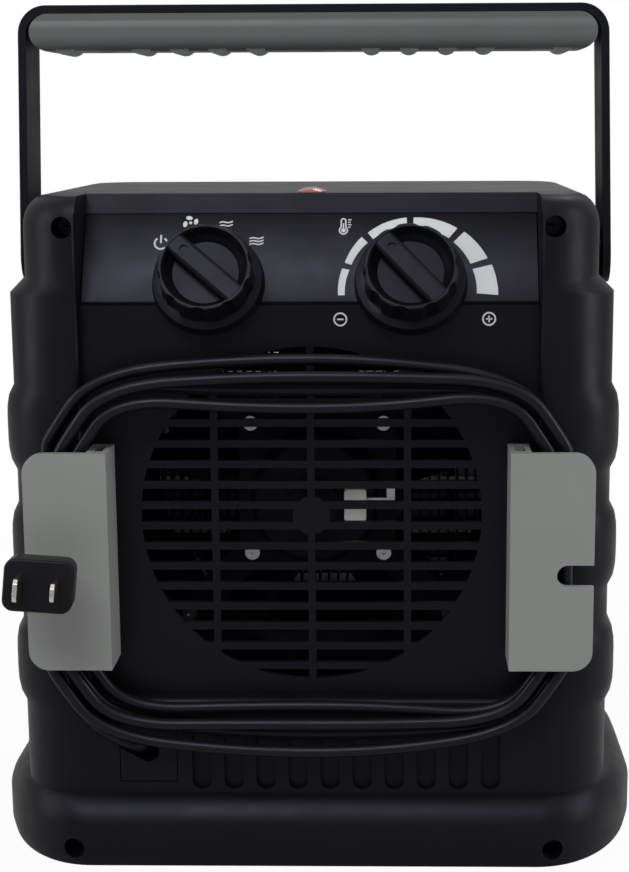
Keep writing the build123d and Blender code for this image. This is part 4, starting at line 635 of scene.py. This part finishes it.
POWER_AT = (-56.1, 25.2)
FAN_AT = (-45.2, 33.5)
LOW_HEAT_AT = (-31.8, 33.1)
HIGH_HEAT_AT = (-20.2, 26.0)
THERMOMETER_AT = (12.4, 28.6)
LESS_AT = (11.5, -5.3)
MORE_AT = (66.6, -5.2)
OPEN_RING = (125, 415)   # degrees: a ring that is open at its top

# Start and end angle, then the inner and outer radius at each: the bars grow towards the hot end.
DIAL_BARS = (
    (191.0, 166.6, (24.9, 27.4), (23.4, 26.2)), (161.2, 134.2, (23.3, 25.9), (23.0, 26.3)),
    (128.0, 93.1, (22.8, 26.1), (22.8, 26.8)), (87.5, 51.8, (22.5, 26.8), (23.2, 28.4)),
    (46.1, 19.3, (23.1, 29.0), (23.6, 30.4)), (13.9, -9.5, (23.7, 31.1), (24.8, 32.8)),
)
DIAL_FOOT = 3.9          # the outermost bars are cut level at this height


def circle(x, y, across, deep, turn=0.0, count=20):
    """Outline of an oval."""
    points = []
    for index in range(count):
        u = across * cos(2 * pi * index / count)
        v = deep * sin(2 * pi * index / count)
        points.append((x + u * cos(turn) - v * sin(turn), y + u * sin(turn) + v * cos(turn)))
    return points


def stroke(line, width):
    """Outlines of the short pieces of a drawn line."""
    sides = []
    for index, (x, y) in enumerate(line):
        x0, y0 = line[max(index - 1, 0)]
        x1, y1 = line[min(index + 1, len(line) - 1)]
        run = sqrt((x1 - x0) ** 2 + (y1 - y0) ** 2)
        across = ((y0 - y1) / run * width / 2, (x1 - x0) / run * width / 2)
        sides.append(((x + across[0], y + across[1]), (x - across[0], y - across[1])))
    return [[b, d, c, a] for (a, b), (c, d) in zip(sides, sides[1:])]


def arc(x, y, radius, start, end, count=28):
    """Points of an arc between two angles in degrees."""
    turns = [radians(start + (end - start) * index / count) for index in range(count + 1)]
    return [(x + radius * cos(turn), y + radius * sin(turn)) for turn in turns]


def power_sign(x, y, width):
    """Open ring with a line in its gap."""
    return stroke(arc(x, y, 2.35, *OPEN_RING), width) + stroke([(x, y), (x, y + 3.4)], width)


def fan_sign(x, y):
    """Four leaning petals round a hub."""
    reach = 2.1
    lean = radians(65)
    hub = 0.6
    turns = [radians(15 + 90 * index) for index in range(4)]
    petals = [circle(x + reach * cos(turn), y + reach * sin(turn), 1.25, 0.82, turn + lean)
              for turn in turns]
    return petals + [circle(x, y, hub, hub)]


def wave_sign(x, y, rows, reach, pitch, width):
    """Rows of warm air: one wave each, rising a little to the right."""
    half = 8
    outlines = []
    for row in range(rows):
        level = y + (row - (rows - 1) / 2) * pitch
        line = []
        for index in range(2 * half + 1):
            swell = 0.32 * sin(pi * index / half + 0.3)
            line.append((x + reach * (index / half - 1), level + swell + 0.04 * (index - half)))
        outlines += stroke(line, width)
    return outlines


def thermometer_sign(x, y, width):
    """Bulb, tube, mercury and a short scale."""
    bulb_y = y + 1.7
    top = y + 5.6
    half = 0.85
    bulb = arc(x, bulb_y, 1.5, *OPEN_RING)
    tube = stroke([bulb[0], (x - half, top)], width) + stroke([(x + half, top), bulb[-1]], width)
    cap = stroke(arc(x, top, half, 180, 0), width)
    mercury = [circle(x, bulb_y, half, half)] + stroke([(x, bulb_y), (x, y + 4.6)], width)
    ticks = []
    for index in range(4):
        level = y + 3.0 + index
        ticks += stroke([(x + 1.7, level), (x + 2.7 + 0.35 * (index % 2), level)], 0.4)
    return stroke(bulb, width) + tube + cap + mercury + ticks


def sign_in_ring(x, y, width, upright):
    """Minus in a ring, or plus with the upright line."""
    half = 1.2
    outlines = stroke(arc(x, y, 2.3, 0, 360), width) + stroke([(x - half, y), (x + half, y)], width)
    return outlines + (stroke([(x, y - half), (x, y + half)], width) if upright else [])


def dial_bar(x, y, start, end, first, last, count=14):
    """Outlines of one bar between two angles, whose radii change from first to last."""
    sides = []
    for side in (0, 1):
        line = []
        for index in range(count + 1):
            share = index / count
            turn = radians(start + share * (end - start))
            radius = first[side] + share * (last[side] - first[side])
            line.append((x + radius * cos(turn), max(y + radius * sin(turn), DIAL_FOOT)))
        sides.append(line)
    return [[a, b, c, d] for a, b, c, d in zip(sides[0], sides[0][1:], sides[1][1:], sides[1])]


def ink_piece(name, outlines, material, lean):
    """Thin ink over outlines on the panel, or upright on the recess below it."""
    sizes = settings("print")
    edge = Vector((0, sizes.panel_y, sizes.panel_low))
    up = Vector((0, sin(lean), cos(lean)))
    out = Vector((0, -cos(lean), sin(lean)))
    made = bmesh.new()
    for outline in outlines:
        ring = [edge + Vector((x * MM, 0, 0)) + up * (y * MM) for x, y in outline]
        low = [made.verts.new(point) for point in ring]
        high = [made.verts.new(point + out * sizes.ink) for point in ring]
        made.faces.new(high)
        made.faces.new(low[::-1])
        for index in range(len(ring)):
            after = (index + 1) % len(ring)
            made.faces.new((low[index], low[after], high[after], high[index]))
    bmesh.ops.remove_doubles(made, verts=made.verts, dist=SHORTEST)
    bmesh.ops.recalc_face_normals(made, faces=made.faces)
    mesh = bpy.data.meshes.new(name)
    made.to_mesh(mesh)
    made.free()
    return piece_from_mesh(name, mesh, "case", material)


class HEATER_OT_prints(bpy.types.Operator):
    """Printed signs and the thermostat's scale"""
    bl_idname = "heater.prints"
    bl_label = "Prints"

    def execute(self, context):
        sizes = settings("print")
        knob = (sizes.knob_x / MM, sizes.knob_up / MM)
        signs = power_sign(*POWER_AT, sizes.stroke / MM) + fan_sign(*FAN_AT)
        signs += wave_sign(*LOW_HEAT_AT, rows=2, reach=2.5, pitch=1.35, width=0.5)
        signs += wave_sign(*HIGH_HEAT_AT, rows=3, reach=2.65, pitch=1.2, width=0.46)
        signs += thermometer_sign(*THERMOMETER_AT, width=0.5)
        ink_piece("panel_signs", signs, finish("ink_white"), sizes.slope)
        below = sign_in_ring(*LESS_AT, width=0.6, upright=False)
        below += sign_in_ring(*MORE_AT, width=0.6, upright=True)
        ink_piece("scale_signs", below, finish("ink_white"), 0.0)
        bars = [outline for bar in DIAL_BARS for outline in dial_bar(*knob, *bar)]
        ink_piece("thermostat_scale", bars, finish("ink_grey"), sizes.slope)
        return {"FINISHED"}


# Screws

SCREW_SIZES = ("Head Radius", "Head Height", "Shank Radius", "Shank Length", "Cross Width")
CROSS_REACH = 1.2        # length of the cross recess, as a share of the head's radius


def screw_tree(material):
    """Geometry Nodes: a cross-recess screw along Z on each point, its head below the point."""
    tree = bpy.data.node_groups.new("cross-recess screws", "GeometryNodeTree")
    tree.is_modifier = True
    tree.interface.new_socket("Geometry", in_out="INPUT", socket_type="NodeSocketGeometry")
    for name in SCREW_SIZES:
        tree.interface.new_socket(name, in_out="INPUT", socket_type="NodeSocketFloat")
    tree.interface.new_socket("Turn", in_out="INPUT", socket_type="NodeSocketVector")
    tree.interface.new_socket("Geometry", in_out="OUTPUT", socket_type="NodeSocketGeometry")
    given = add(tree, "NodeGroupInput").outputs

    # Each shape stands on the origin, with the size and the share of it that lift the shape to its place.
    head = add(tree, "GeometryNodeMeshCylinder", {"Vertices": 40, "Radius": given["Head Radius"],
                                                  "Depth": given["Head Height"]})
    shank = add(tree, "GeometryNodeMeshCylinder", {"Vertices": 24, "Radius": given["Shank Radius"],
                                                   "Depth": given["Shank Length"]})
    shapes = [(head, "Head Height", -0.5), (shank, "Shank Length", 0.5)]
    reach = add(tree, "ShaderNodeMath", {0: given["Head Radius"], 1: CROSS_REACH}, operation="MULTIPLY")
    for long, short in (("X", "Y"), ("Y", "X")):
        size = add(tree, "ShaderNodeCombineXYZ", {long: reach.outputs[0], short: given["Cross Width"],
                                                  "Z": given["Head Height"]})
        arm = add(tree, "GeometryNodeMeshCube", {"Size": size.outputs[0]})
        shapes.append((arm, "Head Height", -1.0))
    lifted = []
    for shape, name, share in shapes:
        height = add(tree, "ShaderNodeMath", {0: given[name], 1: share}, operation="MULTIPLY")
        shift = add(tree, "ShaderNodeCombineXYZ", {"Z": height.outputs[0]})
        moved = add(tree, "GeometryNodeTransform", {"Geometry": shape.outputs["Mesh"],
                                                    "Translation": shift.outputs[0]})
        lifted.append(moved.outputs[0])
    head, shank, *arms = lifted
    for arm in arms:
        cut = add(tree, "GeometryNodeMeshBoolean", {"Mesh 1": head, "Mesh 2": arm}, operation="DIFFERENCE")
        head = cut.outputs["Mesh"]
    whole = add(tree, "GeometryNodeJoinGeometry")
    tree.links.new(head, whole.inputs[0])
    tree.links.new(shank, whole.inputs[0])
    spots = add(tree, "GeometryNodeMeshToPoints", {"Mesh": given["Geometry"]})
    placed = add(tree, "GeometryNodeInstanceOnPoints", {"Points": spots.outputs[0],
                                                        "Instance": whole.outputs[0],
                                                        "Rotation": given["Turn"]})
    real = add(tree, "GeometryNodeRealizeInstances", {"Geometry": placed.outputs[0]})
    coated = add(tree, "GeometryNodeSetMaterial", {"Geometry": real.outputs[0], "Material": material})
    add(tree, "NodeGroupOutput", {"Geometry": coated.outputs[0]})
    return tree


def screw_mesh(name, tree, places, values, turn):
    """The mesh that the screw tree makes on a few points."""
    seats = bpy.data.meshes.new(name)
    seats.from_pydata(places, [], [])
    holder = bpy.data.objects.new(name, seats)
    bpy.context.scene.collection.objects.link(holder)
    modifier = holder.modifiers.new("screws", "NODES")
    modifier.node_group = tree
    sockets = {item.name: item.identifier for item in tree.interface.items_tree if item.in_out == "INPUT"}
    for key, value in zip(SCREW_SIZES, values):
        modifier[sockets[key]] = value
    modifier[sockets["Turn"]] = turn
    mesh = evaluated_mesh(holder, name)
    bpy.data.objects.remove(holder)
    return mesh


def screw_piece(node, tree, material, rows):
    """One piece of the rows of screws that stand for a CAD node."""
    name = node + "_skin"
    made = bmesh.new()
    for places, values, turn in rows:
        made.from_mesh(screw_mesh(node + "_row", tree, places, values, turn))
    piece_from_mesh(name, mesh_of(made, name), BODY_OF[node], material, [node])


class HEATER_OT_screws(bpy.types.Operator):
    """Deep cross-recess screws of the case and of the grip"""
    bl_idname = "heater.screws"
    bl_label = "Screws"

    def execute(self, context):
        sizes = settings("screws")
        material = finish("black_oxide")
        tree = screw_tree(material)
        along_y = (-pi / 2, 0, 0)
        along_z = (0, 0, 0)
        rows = []
        for x, y, z in ((sizes.upper_x, sizes.upper_seat, sizes.upper_z),
                        (sizes.lower_x, sizes.lower_seat, sizes.lower_z)):
            values = (sizes.head_r, sizes.head, sizes.shank_r, sizes.tip - y, sizes.cross)
            rows.append(([(-x, y, z), (x, y, z)], values, along_y))
        screw_piece("case_screws", tree, material, rows)
        places = [(side * sizes.grip_x, sizes.grip_y, sizes.grip_seat) for side in (-1, 0, 1)]
        shank = sizes.grip_tip - sizes.grip_seat
        values = (sizes.grip_head_r, sizes.head, sizes.grip_shank_r, shank, sizes.cross)
        screw_piece("grip_screws", tree, material, [(places, values, along_z)])
        return {"FINISHED"}


# Studio: distances in metres

FLOOR_REACH = 3.0
ROOM_LEVEL = 0.14        # how bright the room shows in reflections, at eye level
FLOOR_LEVEL = 0.2        # how white the floor shows in reflections
NEAR_WHITE = 0.95        # share of plain white in the floor near the object; the rest shows its shadow
FADE = (0.2, 0.9)        # distances between which the floor turns plain white
CEILING = (0.1, 0.75)    # heights of the view between which the room turns to bright ceiling

# Name, place, aim, width and height, and power in watts
LAMPS = (
    ("key softbox", (-0.35, -1.1, 1.35), (0, 0, 0.16), (0.9, 0.7), 17),
    ("left strip", (-1.3, -0.35, 0.5), (0, -0.05, 0.15), (0.35, 1.0), 6.5),
    ("right strip", (1.3, -0.35, 0.5), (0, -0.05, 0.15), (0.35, 1.0), 9.5),
    ("front softbox", (0.4, 0.95, 1.6), (0, 0.05, 0.14), (0.9, 0.7), 16),
)


def area_lamp(name, place, aim, size, power):
    """A soft rectangular lamp turned towards a point."""
    lamp = bpy.data.lights.new(name, "AREA")
    lamp.shape = "RECTANGLE"
    lamp.size, lamp.size_y = size
    lamp.energy = power
    made = bpy.data.objects.new(name, lamp)
    made.location = place
    made.rotation_euler = (Vector(aim) - Vector(place)).to_track_quat("-Z", "Y").to_euler()
    bpy.context.scene.collection.objects.link(made)


def seen_by_lens(tree, mirrored):
    """1 for what the camera sees directly or through glass, mirrored for what it sees reflected."""
    path = add(tree, "ShaderNodeLightPath").outputs
    direct = add(tree, "ShaderNodeMath", {0: path["Is Camera Ray"], 1: path["Is Transmission Ray"]},
                 operation="MAXIMUM")
    glossy = add(tree, "ShaderNodeMath", {0: path["Is Glossy Ray"], 1: mirrored}, operation="MULTIPLY")
    seen = add(tree, "ShaderNodeMath", {0: direct.outputs[0], 1: glossy.outputs[0]}, operation="MAXIMUM")
    return seen.outputs[0]


def set_camera(scene, values):
    """The camera at the photograph's viewing angle."""
    lens = bpy.data.cameras.new("camera")
    lens.sensor_fit = "HORIZONTAL"
    lens.sensor_width = 36
    lens.lens = values.lens
    lens.shift_x = values.shift
    lens.clip_start = 0.01
    camera = bpy.data.objects.new("camera", lens)
    turn = Matrix.Rotation(values.yaw, 4, "Z") @ Matrix.Rotation(pi / 2 - values.pitch, 4, "X")
    turn = turn @ Matrix.Rotation(values.roll, 4, "Z")
    camera.matrix_world = Matrix.Translation(values.eye) @ turn
    scene.collection.objects.link(camera)
    scene.camera = camera


def set_world(scene, values):
    """White behind the object, soft light all around; reflections show a dim room and a bright ceiling."""
    world = bpy.data.worlds.new("studio")
    scene.world = world
    world.use_nodes = True
    tree = world.node_tree
    tree.nodes.clear()
    way = add(tree, "ShaderNodeTexCoord").outputs["Generated"]
    way = add(tree, "ShaderNodeSeparateXYZ", {"Vector": way})
    room = add(tree, "ShaderNodeMapRange", {"Value": way.outputs["Z"], "From Min": CEILING[0],
                                            "From Max": CEILING[1], "To Min": ROOM_LEVEL, "To Max": 1.0})
    seen = seen_by_lens(tree, room.outputs["Result"])
    level = add(tree, "ShaderNodeMapRange", {"Value": seen, "To Min": values.ambient, "To Max": 1.0})
    sky = add(tree, "ShaderNodeBackground", {"Color": (1, 1, 1, 1), "Strength": level.outputs["Result"]})
    add(tree, "ShaderNodeOutputWorld", {"Surface": sky.outputs[0]})


def pale_paper(values):
    """Studio paper: matt and pale, white further out, and clear from below."""
    paper = bpy.data.materials.new("pale studio paper")
    paper.use_nodes = True
    tree = paper.node_tree
    shader = tree.nodes["Principled BSDF"]
    shader.inputs["Base Color"].default_value = values.floor
    shader.inputs["Roughness"].default_value = 0.9
    shader.inputs["Specular IOR Level"].default_value = 0.1
    white = add(tree, "ShaderNodeEmission", {"Color": (1, 1, 1, 1), "Strength": 1.0})
    # The paper keeps the shadow near the object and fades to white further out.
    place = add(tree, "ShaderNodeTexCoord").outputs["Object"]
    far = add(tree, "ShaderNodeVectorMath", {0: place}, operation="LENGTH")
    fade = add(tree, "ShaderNodeMapRange", {"Value": far.outputs["Value"], "From Min": FADE[0],
                                            "From Max": FADE[1], "To Min": NEAR_WHITE, "To Max": 1.0})
    share = add(tree, "ShaderNodeMath", {0: seen_by_lens(tree, FLOOR_LEVEL), 1: fade.outputs["Result"]},
                operation="MULTIPLY")
    mix = add(tree, "ShaderNodeMixShader", {0: share.outputs[0], 1: shader.outputs[0], 2: white.outputs[0]})
    # From below it is clear, so that the feet and the plunger show.
    below = add(tree, "ShaderNodeNewGeometry").outputs["Backfacing"]
    clear = add(tree, "ShaderNodeBsdfTransparent")
    whole = add(tree, "ShaderNodeMixShader", {0: below, 1: mix.outputs[0], 2: clear.outputs[0]})
    tree.links.new(whole.outputs[0], tree.nodes["Material Output"].inputs["Surface"])
    return paper


def set_floor(scene, values):
    """The pale floor that the object stands on."""
    mesh = bpy.data.meshes.new("floor")
    corners = [(x * FLOOR_REACH, y * FLOOR_REACH, 0) for x, y in ((-1, -1), (1, -1), (1, 1), (-1, 1))]
    mesh.from_pydata(corners, [], [(0, 1, 2, 3)])
    floor = bpy.data.objects.new("floor", mesh)
    scene.collection.objects.link(floor)
    mesh.materials.append(pale_paper(values))


class HEATER_OT_stage(bpy.types.Operator):
    """Pale floor, soft light and the camera"""
    bl_idname = "heater.stage"
    bl_label = "Stage"

    def execute(self, context):
        values = settings("studio")
        scene = context.scene
        scene.view_settings.view_transform = "Standard"
        set_camera(scene, values)
        set_world(scene, values)
        set_floor(scene, values)
        for lamp in LAMPS:
            area_lamp(*lamp)
        return {"FINISHED"}


class HEATER_PT_panel(bpy.types.Panel):
    """Lists the heater's pieces and their values"""
    bl_label = "Portable heater"
    bl_idname = "HEATER_PT_panel"
    bl_space_type = "VIEW_3D"
    bl_region_type = "UI"
    bl_category = "Heater"

    def draw(self, context):
        for step in STEPS:
            self.layout.operator("heater." + step)
        for group in GROUPS:
            values = settings(group)
            box = self.layout.box()
            for key in values.bl_rna.properties.keys():
                if key not in ("rna_type", "name"):
                    box.prop(values, key)


GROUPS = {"colours": HeaterColours, "cord": HeaterCord, "print": HeaterPrint, "screws": HeaterScrews,
          "studio": HeaterStudio}
STEPS = ("stage", "cord", "case", "handle", "controls", "prints", "screws", "brackets", "blower", "element")
CLASSES = (*GROUPS.values(), HEATER_OT_stage, HEATER_OT_cord, HEATER_OT_case, HEATER_OT_handle,
           HEATER_OT_controls, HEATER_OT_prints, HEATER_OT_screws, HEATER_OT_brackets, HEATER_OT_blower,
           HEATER_OT_element, HEATER_PT_panel)


def register():
    """Registers the classes and gives the scene its groups of values."""
    for item in CLASSES:
        bpy.utils.register_class(item)
    for name, group in GROUPS.items():
        setattr(bpy.types.Scene, "heater_" + name, bpy.props.PointerProperty(type=group))


def unregister():
    """Takes the groups of values and the classes away again."""
    for name in GROUPS:
        delattr(bpy.types.Scene, "heater_" + name)
    for item in reversed(CLASSES):
        bpy.utils.unregister_class(item)


def main():
    """Makes the whole heater."""
    register()
    for step in STEPS:
        getattr(bpy.ops.heater, step)()
    bpy.context.view_layer.update()


if __name__ == "__main__":
    main()
